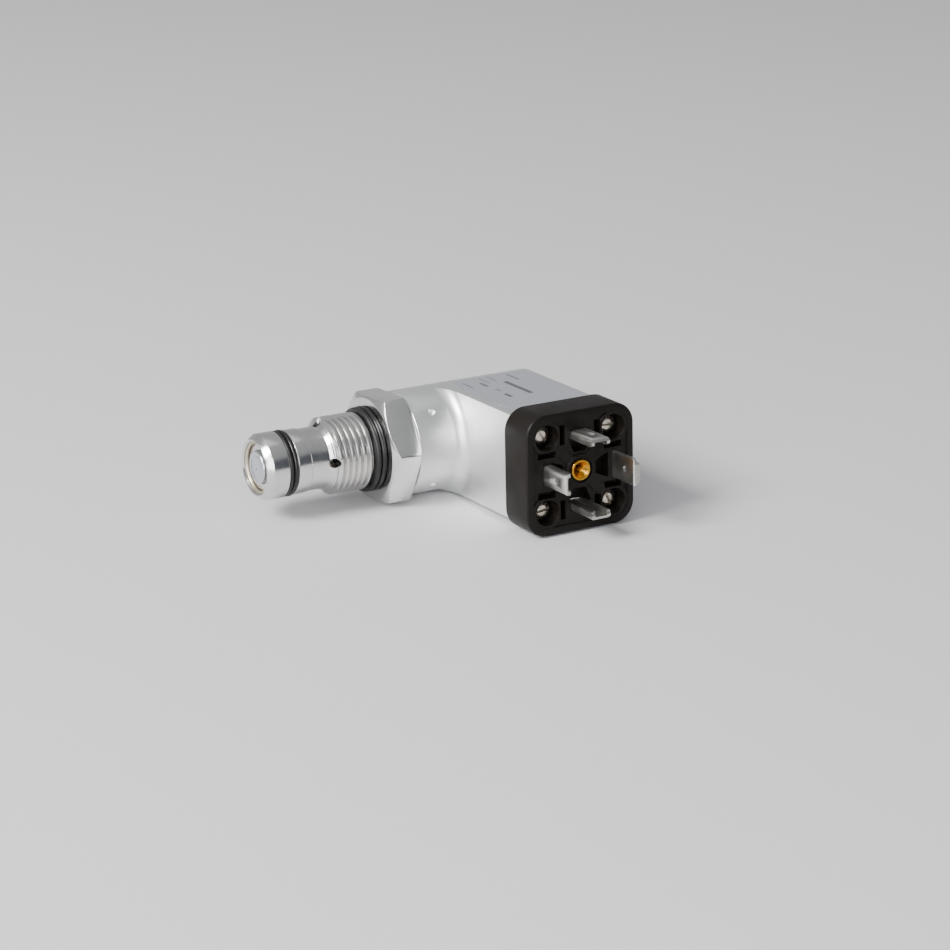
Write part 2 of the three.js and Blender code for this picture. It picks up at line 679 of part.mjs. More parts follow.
function stakePip(angle) {
  const pip = rodZ(housingBoreRadius - STAKE_OVERLAP, housingBoreRadius + 0.4, STAKE_DIAMETER / 2 - 0.1);
  return turnedCopy(movedCopy(pip, stakeX, 0, 0), AXIS_X, angle);
}

const screwPlaces = [[-1, 1], [1, 1], [1, -1], [-1, -1]].map(([sx, sy]) => [
  (sx * FLANGE_SCREW_PITCH) / 2,
  (sy * FLANGE_SCREW_PITCH) / 2,
]);
const screwHoleRadius = FLANGE_SCREW_DIAMETER / 2 + SCREW_GAP;
const screwTip = screwSeat - FLANGE_SCREW_LENGTH;

// A solid modelled on the connector's own axes, carried to its place on the housing.
function onConnector(body) {
  const geometry = geometryOf(body).rotateX(Math.PI / 2);
  return solid(geometry.translate(connectorX, -HOUSING_DEPTH, 0));
}

function housing() {
  const round = rodX(neckStartX, blockEndX, housingRadius, ROUND);
  const block = box(blockStartX, blockEndX, -HOUSING_DEPTH, 0, -housingRadius, housingRadius);
  const bore = rodX(neckStartX - 1, cavityEndX, housingBoreRadius, ROUND);
  const cavity = onConnector(rodZ(-HOUSING_DEPTH, 1, CAVITY_DIAMETER / 2, ROUND));
  const screwHoles = screwPlaces.map(([x, y]) => (
    onConnector(movedCopy(rodZ(screwTip - 0.5, 1, screwHoleRadius, SMALL_ROUND), x, y, 0))
  ));
  const earthHoleEnd = cavityEndX + EARTH_SCREW_LENGTH + HOLE_SPARE_DEPTH;
  const earthHoleRadius = EARTH_SCREW_DIAMETER / 2 + SCREW_GAP;
  const earthHole = movedCopy(
    rodX(cavityEndX - 1, earthHoleEnd, earthHoleRadius, SMALL_ROUND), 0, 0, EARTH_SCREW_RISE,
  );
  const hollow = [bore, cavity, earthHole, ...screwHoles, ...stakeAngles.map(stakeDimple)];
  const shell = cutAll(joinAll([round, block, neckFillet()]), hollow);
  return joinAll([shell, ...stakeAngles.map(stakePip)]);
}

piece('housing', housing(), SATIN_ALUMINIUM);
piece('label', box(
  blockStartX + LABEL_MARGIN_SIDE, blockEndX - LABEL_MARGIN_END,
  -HOUSING_DEPTH + LABEL_MARGIN_END, 0,
  housingRadius + SEAT_GAP, housingRadius + SEAT_GAP + LABEL_THICKNESS,
), FOIL);

// ---------------------------------------------------------------- connector

// Its own axes: z points out of the housing from the housing's end face, y is up.
const connector = new THREE.Group();
connector.rotation.x = Math.PI / 2;
connector.position.set(connectorX, -HOUSING_DEPTH, 0);
object.add(connector);

const QUARTER = Math.PI / 2;
const contactOuter = (CONTACT_PITCH + CONTACT_THICKNESS) / 2;
const contactInner = contactOuter - CONTACT_THICKNESS;
const footInner = contactOuter - CONTACT_FOOT;
const lugEnd = contactBack - LUG_LENGTH;

function flangeGasket() {
  const sheet = roundedSquare(GASKET_SIZE, BASE_CORNER, SEAT_GAP, gasketFront);
  const opening = rodZ(-1, baseBack, CAVITY_DIAMETER / 2, ROUND);
  const hole = rodZ(-1, baseBack, screwHoleRadius, SMALL_ROUND);
  const holes = screwPlaces.map(([x, y]) => movedCopy(hole, x, y, 0));
  return cutAll(sheet, [opening, ...holes]);
}

function baseArms() {
  const half = BASE_ARM_WIDTH / 2;
  const bar = box(
    -BASE_ARM_REACH, BASE_ARM_REACH, -half, half, baseField - 0.5, baseFront - BASE_ARM_SETBACK,
  );
  return [QUARTER / 2, -QUARTER / 2].map((angle) => turnedCopy(bar, AXIS_Z, angle));
}

// What is cut out of the base for one contact of the given half width and depth.
function contactPocket(halfWidth, inner) {
  const slot = box(
    -halfWidth - SEAT_GAP, halfWidth + SEAT_GAP,
    inner - SEAT_GAP, contactOuter + SEAT_GAP,
    contactBack - SEAT_GAP, baseFront + 1,
  );
  const foot = box(
    -LUG_WIDTH / 2 - SEAT_GAP, LUG_WIDTH / 2 + SEAT_GAP,
    footInner - SEAT_GAP, contactOuter,
    contactBack - SEAT_GAP, contactBack + CONTACT_THICKNESS + SEAT_GAP,
  );
  const lug = box(
    -LUG_WIDTH / 2 - SEAT_GAP, LUG_WIDTH / 2 + SEAT_GAP,
    footInner - SEAT_GAP, footInner + CONTACT_THICKNESS + SEAT_GAP,
    lugEnd, contactBack + CONTACT_THICKNESS,
  );
  return joinAll([slot, foot, lug]);
}

function well() {
  const outer = contactOuter - CONTACT_LEG + SEAT_GAP;
  const outline = [
    [-WELL_INNER_WIDTH / 2, WELL_INNER],
    [WELL_INNER_WIDTH / 2, WELL_INNER],
    [WELL_OUTER_WIDTH / 2, outer],
    [-WELL_OUTER_WIDTH / 2, outer],
  ];
  return plate(outline, baseField - WELL_DEPTH, baseFront + 1);
}

function coreSlots() {
  return [-1, 1].map((side) => {
    const x = side * CORE_SLOT_ASIDE;
    return box(
      x - CORE_SLOT_WIDTH / 2, x + CORE_SLOT_WIDTH / 2,
      CORE_SLOT_INNER, CORE_SLOT_INNER + CORE_SLOT_LENGTH,
      baseField - CORE_SLOT_DEPTH, baseFront + 1,
    );
  });
}

function connectorBase() {
  const block = roundedSquare(BASE_SIZE, BASE_CORNER, baseBack, baseFront);
  const margin = (BASE_SIZE - BASE_FIELD_SIZE) / 2;
  const field = roundedSquare(BASE_FIELD_SIZE, BASE_CORNER - margin, baseField, baseFront + 1);
  const rearBoss = rodZ(baseBack - BASE_BOSS_LENGTH, baseBack + 0.5, baseBossRadius, ROUND);
  const centreBoss = rodZ(baseField - 0.5, baseFront, CENTRE_BOSS_DIAMETER / 2, MIDDLE_ROUND);
  const pocketRims = screwPlaces.map(([x, y]) => (
    movedCopy(rodZ(baseField - 0.5, baseFront - 0.1, SCREW_POCKET_RIM / 2, SMALL_ROUND), x, y, 0)
  ));
  const raised = joinAll([centreBoss, ...pocketRims, ...baseArms()]).intersect(block);
  const body = joinAll([block.subtract(field), rearBoss, raised]);

  const pockets = screwPlaces.flatMap(([x, y]) => [
    movedCopy(rodZ(screwSeat - SEAT_GAP, baseFront + 1, SCREW_POCKET_DIAMETER / 2, SMALL_ROUND), x, y, 0),
    movedCopy(rodZ(0, screwSeat + 1, screwHoleRadius, SMALL_ROUND), x, y, 0),
  ]);
  const insertHoleRadius = INSERT_DIAMETER / 2 + SEAT_GAP;
  const insertHole = rodZ(insertBack - SEAT_GAP, baseFront + 1, insertHoleRadius, MIDDLE_ROUND);
  const collar = rodZ(baseField, baseFront + 1, INSERT_COLLAR / 2, MIDDLE_ROUND);
  const quarters = [0, 1, 2, 3].flatMap((i) => (
    [well(), ...coreSlots()].map((tool) => turnedCopy(tool, AXIS_Z, i * QUARTER))
  ));
  const contactPockets = [0, 1, 2].map((i) => (
    turnedCopy(contactPocket(CONTACT_WIDTH / 2, contactOuter - CONTACT_LEG), AXIS_Z, i * QUARTER)
  ));
  const earthPocket = turnedCopy(contactPocket(EARTH_WIDTH / 2, contactInner), AXIS_Z, -QUARTER);
  return cutAll(body, [...pockets, insertHole, collar, ...quarters, ...contactPockets, earthPocket]);
}

// Foot and solder lug behind the blade of a contact.
function contactTail() {
  const half = LUG_WIDTH / 2;
  const foot = box(-half, half, footInner, contactOuter, contactBack, contactBack + CONTACT_THICKNESS);
  const lug = box(-half, half, footInner, footInner + CONTACT_THICKNESS, lugEnd, contactBack + 0.1);
  return joinAll([foot, lug]);
}

function contactHole(z) {
  const drill = rodZ(-2, 2, CONTACT_HOLE_DIAMETER / 2, SMALL_ROUND);
  const across = turnedCopy(drill, AXIS_X, QUARTER);
  return movedCopy(across, 0, contactOuter, z);
}

// Channel section: a flat back with two legs towards the middle of the connector.
function contact() {
  const half = CONTACT_WIDTH / 2;
  const tip = baseFront + CONTACT_REACH;
  const back = box(-half, half, contactInner, contactOuter, contactBack, tip);
  const legs = [-1, 1].map((side) => {
    const x = side * (half - CONTACT_THICKNESS / 2);
    return box(
      x - CONTACT_THICKNESS / 2, x + CONTACT_THICKNESS / 2,
      contactOuter - CONTACT_LEG, contactInner + 0.1,
      contactBack + CONTACT_THICKNESS, tip,
    );
  });
  return joinAll([back, ...legs, contactTail()]).subtract(contactHole(tip - CONTACT_HOLE_SETBACK));
}

function earthContact() {
  const half = EARTH_WIDTH / 2;
  const tip = baseFront + EARTH_REACH;
  const outline = [
    [-half, contactBack],
    [half, contactBack],
    [half, tip - EARTH_CORNER],
    [half - EARTH_CORNER, tip],
    [-half + EARTH_CORNER, tip],
    [-half, tip - EARTH_CORNER],
  ];
  const flat = solid(geometryOf(plate(outline, -contactOuter, -contactInner)).rotateX(QUARTER));
  const hole = contactHole(tip - CONTACT_HOLE_SETBACK - EARTH_CORNER);
  return joinAll([flat, contactTail()]).subtract(hole);
}

function flangeScrew(slotAngle) {
  const headTop = screwSeat + FLANGE_SCREW_HEAD_HEIGHT;
  const head = rodZ(screwSeat, headTop, FLANGE_SCREW_HEAD / 2, SMALL_ROUND);
  const shank = rodZ(screwTip, screwSeat + 0.5, FLANGE_SCREW_DIAMETER / 2, SMALL_ROUND);
  const reach = FLANGE_SCREW_HEAD;
  const slot = box(
    -reach, reach,
    -SCREW_SLOT_WIDTH / 2, SCREW_SLOT_WIDTH / 2,
    headTop - SCREW_SLOT_DEPTH, headTop + 1,
  );
  return head.add(shank).subtract(turnedCopy(slot, AXIS_Z, slotAngle));
}

function centreInsert() {
  const top = baseFront + INSERT_PROUD;
  const outer = INSERT_DIAMETER / 2;
  const bore = CENTRE_SCREW_BORE / 2;
  const floor = 0.6;
  const countersink = 0.5;
  return turnedZ([
    [insertBack, 0],
    [insertBack, outer],
    [top, outer],
    [top, bore + countersink],
    [top - countersink, bore],
    [insertBack + floor, bore],
    [insertBack + floor, 0],
  ], MIDDLE_ROUND);
}

piece('flange_gasket', flangeGasket(), GASKET_RUBBER, connector);
piece('connector_base', connectorBase(), BLACK_NYLON, connector);
piece('centre_insert', centreInsert(), BRASS, connector);
screwPlaces.forEach(([x, y], i) => {
  const angle = THREE.MathUtils.degToRad(SCREW_SLOT_TURNS[i]);
  piece(`flange_screw_${i + 1}`, flangeScrew(angle), NICKEL, connector).position.set(x, y, 0);
});
[0, 1, 2].forEach((i) => {
  piece(`contact_${i + 1}`, contact(), TINNED, connector).rotation.z = i * QUARTER;
});
piece('earth_contact', earthContact(), TINNED, connector).rotation.z = -QUARTER;

// ---------------------------------------------------------------- reed switch on its board

const boardStartX = spigotEndX + 1;
const boardEndX = cavityEndX - 1;
const boardTop = -REED_DIAMETER / 2 - SEAT_GAP;
const boardBottom = boardTop - BOARD_THICKNESS;
const boardSide = Math.sqrt(housingBoreRadius ** 2 - boardBottom ** 2) - BOARD_SIDE_GAP;
const reedStartX = boardStartX + REED_SETBACK;
const reedEndX = reedStartX + REED_LENGTH;

function reedCapsule() {
  const radius = REED_DIAMETER / 2;
  return turnedX([
    [reedStartX, 0],
    [reedStartX + radius / 3, radius * 0.7],
    [reedStartX + radius, radius],
    [reedEndX - radius, radius],
    [reedEndX - radius / 3, radius * 0.7],
    [reedEndX, 0],
  ], SMALL_ROUND);
}

// A lead leaves the capsule's end, bends and stops on the board.
function reedLead(x, direction, y) {
  const start = x + direction * (SEAT_GAP + REED_LEAD_DIAMETER / 2);
  const end = start + direction * REED_LEAD_LENGTH;
  return tube([
    [start, y * 0.4, 0],
    [start + direction * 0.5 * REED_LEAD_LENGTH, y * 0.7, 0],
    [end, y, -REED_DIAMETER / 4],
    [end, y, boardTop + SEAT_GAP],
  ], REED_LEAD_DIAMETER, 8, 6);
}

// Half ring that stands in the bore under the board, closed by a bar that the board lies on.
function boardHolder() {
  const x0 = (reedEndX + boardEndX) / 2;
  const x1 = x0 + HOLDER_LENGTH;
  const outer = housingBoreRadius - RUNNING_GAP;
  const top = boardBottom - SEAT_GAP;
  const disc = rodX(x0, x1, outer, ROUND);
  const below = box(x0, x1, -outer, outer, -outer, top);
  const hollow = rodX(x0 - 1, x1 + 1, outer - HOLDER_RIM, ROUND);
  const bar = box(x0, x1, -outer, outer, top - HOLDER_THICKNESS, top);
  return disc.intersect(below.subtract(hollow).add(bar));
}

piece('switch_board', box(
  boardStartX, boardEndX, -boardSide, boardSide, boardBottom, boardTop,
), BOARD);
piece('board_holder', boardHolder(), BLACK_NYLON);
piece('reed_capsule', reedCapsule(), GLASS);
piece('reed_lead_common', reedLead(reedStartX, -1, 0), TINNED);
piece('reed_lead_open', reedLead(reedEndX, 1, 1), TINNED);
piece('reed_lead_closed', reedLead(reedEndX, 1, -1), TINNED);

// ---------------------------------------------------------------- leads to the contacts

const lugRadius = footInner + CONTACT_THICKNESS / 2;
const leadStartY = -HOUSING_DEPTH - lugEnd + SEAT_GAP;
const leadEndY = -boardSide + WIRE_DIAMETER;
const leadSteps = 16;

// Every lead starts square on its solder lug and comes down square on its pad.
function signalLead(startX, startZ, endX, side) {
  const pad = side > 0 ? boardTop + SEAT_GAP : boardBottom - SEAT_GAP;
  const lift = pad + side * 1.6;
  const between = (from, to, share) => from + (to - from) * share;
  return tube([
    [startX, leadStartY, startZ],
    [startX, between(leadStartY, leadEndY, 0.15), startZ],
    [between(startX, endX, 0.5), between(leadStartY, leadEndY, 0.55), between(startZ, lift, 0.5)],
    [endX, leadEndY - 1.5, lift + side * 0.4],
    [endX, leadEndY, lift],
    [endX, leadEndY + 0.1, pad],
  ], WIRE_DIAMETER, leadSteps, 6);
}

const leadColour = (color) => ({ color, roughness: 0.5 });
const leftLugX = connectorX - lugRadius;

piece('signal_lead_1', signalLead(connectorX, lugRadius, connectorX + PAD_OFFSET, 1), leadColour(0xa33a2e));
piece('signal_lead_2', signalLead(leftLugX, 0, leftLugX, 1), leadColour(0x2c4f9a));
piece('signal_lead_3', signalLead(
  connectorX, -lugRadius, connectorX - PAD_OFFSET, -1,
), leadColour(0x2a2a2a));

const eyeletX = cavityEndX - SEAT_GAP - EARTH_EYELET_THICKNESS;
const earthHeadX = eyeletX - SEAT_GAP;
const crimpEndY = -EARTH_SCREW_HEAD / 2 - RUNNING_GAP;

function earthEyelet() {
  const radius = EARTH_SCREW_HEAD / 2 + EARTH_EYELET_MARGIN;
  const hole = EARTH_SCREW_DIAMETER / 2 + SCREW_GAP;
  const ring = movedCopy(
    washerX(eyeletX, cavityEndX - SEAT_GAP, hole, radius, SMALL_ROUND), 0, 0, EARTH_SCREW_RISE,
  );
  const crimp = box(
    cavityEndX - SEAT_GAP - WIRE_DIAMETER, cavityEndX - SEAT_GAP,
    crimpEndY - EARTH_CRIMP_LENGTH, crimpEndY,
    EARTH_SCREW_RISE - WIRE_DIAMETER / 2, EARTH_SCREW_RISE + WIRE_DIAMETER / 2,
  );
  return ring.add(crimp);
}

function earthScrew() {
  const headFront = earthHeadX - EARTH_SCREW_HEAD_HEIGHT;
  const head = rodX(headFront, earthHeadX, EARTH_SCREW_HEAD / 2, SMALL_ROUND);
  const tip = cavityEndX + EARTH_SCREW_LENGTH;
  const shank = rodX(earthHeadX - 0.2, tip, EARTH_SCREW_DIAMETER / 2, SMALL_ROUND);
  const slot = box(
    headFront - 1, headFront + SCREW_SLOT_DEPTH,
    -EARTH_SCREW_HEAD, EARTH_SCREW_HEAD,
    -SCREW_SLOT_WIDTH / 2, SCREW_SLOT_WIDTH / 2,
  );
  return movedCopy(head.add(shank).subtract(slot), 0, 0, EARTH_SCREW_RISE);
}

function earthLead() {
  const startX = connectorX + lugRadius;
  const endX = cavityEndX - SEAT_GAP - WIRE_DIAMETER / 2;
  const endY = crimpEndY - EARTH_CRIMP_LENGTH - SEAT_GAP;
  return tube([
    [startX, leadStartY, 0],
    [startX, leadStartY + 4, 0.3],
    [startX, leadStartY + 13, EARTH_SCREW_RISE * 0.55],
    [startX, endY - 4, EARTH_SCREW_RISE * 0.95],
    [endX - 0.2, endY - 1, EARTH_SCREW_RISE],
    [endX, endY, EARTH_SCREW_RISE],
  ], WIRE_DIAMETER, leadSteps, 6);
}

piece('earth_lead', earthLead(), leadColour(0x5d8a34));
piece('earth_eyelet', earthEyelet(), TINNED);
piece('earth_screw', earthScrew(), NICKEL);

export default object;
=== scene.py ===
"""Looks of the differential pressure cartridge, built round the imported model.

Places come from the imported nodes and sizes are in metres. The cartridge axis is X with the nose
towards -X, the connector faces -Y and +Z is up, towards the label.
"""

import json
import math

import bpy
from mathutils import Matrix, Vector


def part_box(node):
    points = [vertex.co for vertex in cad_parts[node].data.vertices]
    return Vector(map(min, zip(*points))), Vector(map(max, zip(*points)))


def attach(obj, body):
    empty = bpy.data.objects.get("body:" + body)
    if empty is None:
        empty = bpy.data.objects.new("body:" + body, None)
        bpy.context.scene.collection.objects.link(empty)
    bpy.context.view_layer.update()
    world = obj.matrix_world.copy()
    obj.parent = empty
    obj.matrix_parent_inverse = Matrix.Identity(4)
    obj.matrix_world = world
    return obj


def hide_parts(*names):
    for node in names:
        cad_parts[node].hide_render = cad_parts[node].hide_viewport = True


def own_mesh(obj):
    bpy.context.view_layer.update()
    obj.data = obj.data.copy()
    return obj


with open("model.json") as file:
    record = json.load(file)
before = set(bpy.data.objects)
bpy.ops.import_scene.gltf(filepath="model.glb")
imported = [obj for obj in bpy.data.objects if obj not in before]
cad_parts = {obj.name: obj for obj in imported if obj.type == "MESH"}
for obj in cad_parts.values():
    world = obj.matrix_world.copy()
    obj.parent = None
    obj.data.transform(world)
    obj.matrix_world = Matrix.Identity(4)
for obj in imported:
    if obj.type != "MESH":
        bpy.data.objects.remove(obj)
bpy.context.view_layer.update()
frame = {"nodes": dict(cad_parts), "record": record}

bl_info = {
    "name": "Pressure cartridge looks",
    "version": (1, 0, 0),
    "blender": (4, 5, 0),
    "location": "3D View > Sidebar > Cartridge",
    "description": "Builds the visible pieces of a screw-in differential pressure cartridge",
    "category": "Object",
}

MM = 0.001
QUARTER = math.pi / 2


def linear(code, alpha=False):
    """An sRGB hex colour as linear values."""
    parts = [int(code[i:i + 2], 16) / 255 for i in (0, 2, 4)]
    values = [c / 12.92 if c <= 0.04045 else ((c + 0.055) / 1.055) ** 2.4 for c in parts]
    return (*values, 1.0) if alpha else tuple(values)


def length(name, description, default, **more):
    return bpy.props.FloatProperty(
        name=name, description=description, default=default * MM, unit="LENGTH", precision=5, **more)


def colour(name, description, code):
    return bpy.props.FloatVectorProperty(
        name=name, description=description, default=linear(code), subtype="COLOR", size=3,
        min=0, max=1)


# ---------------------------------------------------------------- places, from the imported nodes

def low(node):
    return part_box(node)[0]


def high(node):
    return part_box(node)[1]


def middle(node):
    return (low(node) + high(node)) / 2


NOSE_X = low("cartridge_body").x
SPIGOT_END_X = high("cartridge_body").x
NECK_X = low("housing").x
BLOCK_END_X = high("housing").x
SEAT_Y = low("housing").y
CONNECTOR = Vector((middle("connector_base").x, 0, 0))
RIM_Y = low("connector_base").y


# ---------------------------------------------------------------- settings

class CartridgeSizes(bpy.types.PropertyGroup):
    """Sizes of the turned cartridge and its seals."""

    facets: bpy.props.IntProperty(
        name="Facets", description="Facets of a turned piece", default=128, min=32, max=256)
    edge: length("Edge round", "Round that the tool leaves on a turned edge", 0.12)
    thread_radius: length("Thread radius", "Crest radius of the thread", 9.0)
    thread_pitch: length("Thread pitch", "Advance of the thread in one turn", 1.5)
    thread_depth: length("Thread depth", "Depth of the thread", 0.92)
    thread_length: length("Thread length", "Length of the threaded part", 10.4)
    seat_groove: length("Seat groove", "Width of the groove ahead of the hexagon", 2.8)
    rear_radius: length("Rear barrel radius", "Barrel between thread and step", 7.2)
    rear_length: length("Rear barrel length", "Barrel between thread and step", 4.9)
    front_radius: length("Front barrel radius", "Barrel between step and nose groove", 7.45)
    front_length: length("Front barrel length", "Barrel between step and nose groove", 3.2)
    nose_radius: length("Nose radius", "Radius of the land at the nose", 7.65)
    nose_groove: length("Nose groove", "Width of the nose seal's groove", 2.4)
    nose_land: length("Nose land", "Length of the land at the nose", 3.9)
    nose_chamfer: length("Nose chamfer", "Length of the lead-in at the nose", 1.4)
    rim_radius: length("Rim radius", "Outer radius of the flat nose rim", 6.5)
    recess_radius: length("Recess radius", "Radius of the recess in the nose", 5.95)
    hexagon: length("Across flats", "Spanner size of the hexagon", 24.0)
    hexagon_length: length("Hexagon length", "Thickness of the hexagon", 7.0)
    hexagon_turn: bpy.props.FloatProperty(
        name="Hexagon turn", description="Turn of the hexagon about the axis",
        default=math.radians(-2.3), subtype="ANGLE")
    cross_hole: length("Cross hole", "Diameter of the four flow holes", 2.2)
    spring_wire: length("Spring wire", "Wire of the spring behind the piston", 0.6)
    spring_turns: bpy.props.IntProperty(
        name="Spring turns", description="Turns of the spring behind the piston", default=6, min=2)


class HeadSizes(bpy.types.PropertyGroup):
    """Sizes of the housing and the connector on it."""

    radius: length("Round radius", "Radius of the neck and of the round back", 12.2)
    neck: length("Neck length", "Length of the round neck", 12.0)
    fillet: length("Neck fillet", "Hollow between neck and block", 3.0)
    edge: length("Edge round", "Round of the block's edges", 0.28)
    bore_radius: length("Bore radius", "Radius of the bore for the cartridge", 9.1)
    bore_end: length("Bore end", "Wall left behind the bore", 2.8)
    cavity_radius: length("Cavity radius", "Radius of the cavity behind the connector", 9.3)
    stake_radius: length("Stake radius", "Radius of a stake mark's mouth", 0.95)
    stake_setback: length("Stake setback", "Stake marks, from the neck's end", 5.0)
    base: length("Base size", "Side of the square connector base", 28.0)
    base_corner: length("Base corner", "Corner radius of the base", 5.0)
    field: length("Field size", "Side of the sunk field", 24.6)
    field_setback: length("Field setback", "Depth of the field behind the rim", 0.5)
    screw_pitch: length("Screw pitch", "Distance between the flange screws", 17.3)
    contact_pitch: length("Contact pitch", "Distance between the contacts' middles", 18.0)
    contact_width: length("Contact width", "Width of a signal contact", 4.8)
    contact_sheet: length("Contact sheet", "Thickness of the contacts' sheet", 0.8)
    contact_leg: length("Contact leg", "Depth of a signal contact's legs", 1.9)
    contact_reach: length("Contact reach", "Signal contacts, past the rim", 8.5)
    earth_width: length("Earth width", "Width of the earth contact", 6.3)
    earth_reach: length("Earth reach", "Earth contact, past the rim", 9.3)


class Finishes(bpy.types.PropertyGroup):
    """Colours of the materials."""

    turned: colour("Turned aluminium", "Bright turned aluminium", "dddcda")
    drawn: colour("Drawn aluminium", "Hexagon bar as drawn", "efeeec")
    satin: colour("Satin aluminium", "Clear anodised aluminium", "ecedec")
    foil: colour("Label foil", "Label of printed foil", "d0d3da")
    ink: colour("Label ink", "Bars printed on the label", "3d4048")
    rubber: colour("Nitrile", "Black moulded rubber", "0c0c0e")
    hard_rubber: colour("Hard nitrile", "Matt black rubber", "151414")
    gasket: colour("Gasket", "Red-brown rubber sheet", "66392d")
    nylon: colour("Nylon", "Black glass-filled nylon", "110d0a")
    tin: colour("Tin", "Tin plating on the contacts", "c4c3be")
    nickel: colour("Nickel", "Nickel plating on the screws", "d2cabb")
    brass: colour("Brass", "Turned brass of the insert", "c89432")
    bronze: colour("Tempered wire", "Straw brown spring wire", "d6ccb8")
    steel: colour("Ground steel", "Ground steel of the piston", "cfd4db")
    floor: colour("Floor", "Pale table top", "c9c8ca")


class StageSizes(bpy.types.PropertyGroup):
    """Floor and camera."""

    floor_side: bpy.props.FloatProperty(
        name="Floor side", description="Side of the square floor", default=6.0, unit="LENGTH")
    floor_tilt: bpy.props.FloatProperty(
        name="Floor tilt", description="Lean of the floor that the part rests on, about X",
        default=math.radians(2.48), subtype="ANGLE")
    rest_y: length("Rest place", "Where the base's rear lower edge touches the floor", -32.9)
    rest_z: length("Rest height", "Height of that edge", -14.0)
    lens: bpy.props.FloatProperty(
        name="Lens", description="Focal length in millimetres", default=121.1)
    camera: bpy.props.FloatVectorProperty(
        name="Camera", description="Place of the camera", size=3, subtype="TRANSLATION",
        unit="LENGTH", default=(-0.3283, -0.6239, 0.2024))
    yaw: bpy.props.FloatProperty(
        name="Yaw", description="Camera's turn from +Y towards +X",
        default=math.radians(29.74), subtype="ANGLE")
    pitch: bpy.props.FloatProperty(
        name="Pitch", description="Camera's look down", default=math.radians(16.55),
        subtype="ANGLE")
    roll: bpy.props.FloatProperty(
        name="Roll", description="Camera's roll", default=math.radians(-1.18), subtype="ANGLE")


def sizes():
    return bpy.context.scene.cartridge_sizes


def head():
    return bpy.context.scene.head_sizes


# ---------------------------------------------------------------- modelling

def start(name, primitive, stretch=None, **settings):
    """Adds a primitive, applies its place and opens it in edit mode with all of it selected.

    A stretch along X, Y and Z is made about the place of the primitive.
    """
    bpy.ops.object.select_all(action="DESELECT")
    primitive(**settings)
    piece = bpy.context.object
    piece.name = name
    piece.data.name = name
    bpy.ops.object.transform_apply(location=True, rotation=True, scale=True)
    bpy.ops.object.mode_set(mode="EDIT")
    bpy.ops.mesh.select_mode(type="VERT")
    bpy.ops.mesh.select_all(action="SELECT")
    if stretch:
        bpy.ops.transform.resize(value=stretch, center_override=settings["location"])
    return piece


def close():
    bpy.ops.object.mode_set(mode="OBJECT")
    return bpy.context.object


def alone(piece):
    bpy.ops.object.select_all(action="DESELECT")
    piece.select_set(True)
    bpy.context.view_layer.objects.active = piece


def apply(piece, kind, **settings):
    """Adds a modifier, sets it up and applies it."""
    alone(piece)
    modifier = piece.modifiers.new(kind.title(), kind)
    for key, value in settings.items():
        setattr(modifier, key, value)
    bpy.ops.object.modifier_apply(modifier=modifier.name)
    return piece


def combine(piece, operation, *tools):
    """Cuts, joins or trims the piece with each tool and removes the tools."""
    for tool in tools:
        apply(piece, "BOOLEAN", object=tool, operation=operation, solver="EXACT")
        bpy.data.objects.remove(tool)
    return piece


def pick(piece, part, test):
    """Selects the faces, edges or vertices of the mesh being edited that pass the test."""
    bpy.ops.mesh.select_all(action="DESELECT")
    bpy.ops.object.mode_set(mode="OBJECT")
    mesh = piece.data
    if part == "FACE":
        for face in mesh.polygons:
            face.select = test(face.center, face.normal)
    elif part == "EDGE":
        for edge in mesh.edges:
            ends = [mesh.vertices[i].co for i in edge.vertices]
            edge.select = test(*ends)
    else:
        for vertex in mesh.vertices:
            vertex.select = test(vertex.co)
    bpy.ops.object.mode_set(mode="EDIT")
    bpy.ops.mesh.select_mode(type=part)


def trace(name, points):
    """Draws a chain of edges by extruding a vertex from point to point."""
    piece = start(name, bpy.ops.mesh.primitive_plane_add, size=MM, location=points[0])
    bpy.ops.mesh.merge(type="CENTER")
    for here, there in zip(points, points[1:]):
        step = Vector(there) - Vector(here)
        bpy.ops.mesh.extrude_vertices_move(TRANSFORM_OT_translate={"value": step})
    bpy.ops.mesh.select_all(action="SELECT")
    return piece


def rounded(profile, closed=True):
    """Profile of (along, radius, round) points with each round drawn as an arc of short steps."""
    done = []
    count = len(profile)
    for i, (x, r, *more) in enumerate(profile):
        size = more[0] if more else 0
        if not size:
            done.append((x, r))
            continue
        here = Vector((x, r))
        before = Vector(profile[i - 1][:2]) - here
        after = Vector(profile[(i + 1) % count][:2]) - here
        angle = before.angle(after)
        reach = min(size / math.tan(angle / 2), before.length * 0.48, after.length * 0.48)
        radius = reach * math.tan(angle / 2)
        centre = here + (before.normalized() + after.normalized()).normalized() * (
            radius / math.sin(angle / 2))
        first = here + before.normalized() * reach - centre
        last = here + after.normalized() * reach - centre
        steps = max(2, round(math.degrees(math.pi - angle) / 22))
        sweep = first.angle_signed(last)
        for k in range(steps + 1):
            spoke = first.copy()
            spoke.rotate(Matrix.Rotation(-sweep * k / steps, 2))
            done.append(tuple(centre + spoke))
    return done + done[:1] if closed else done


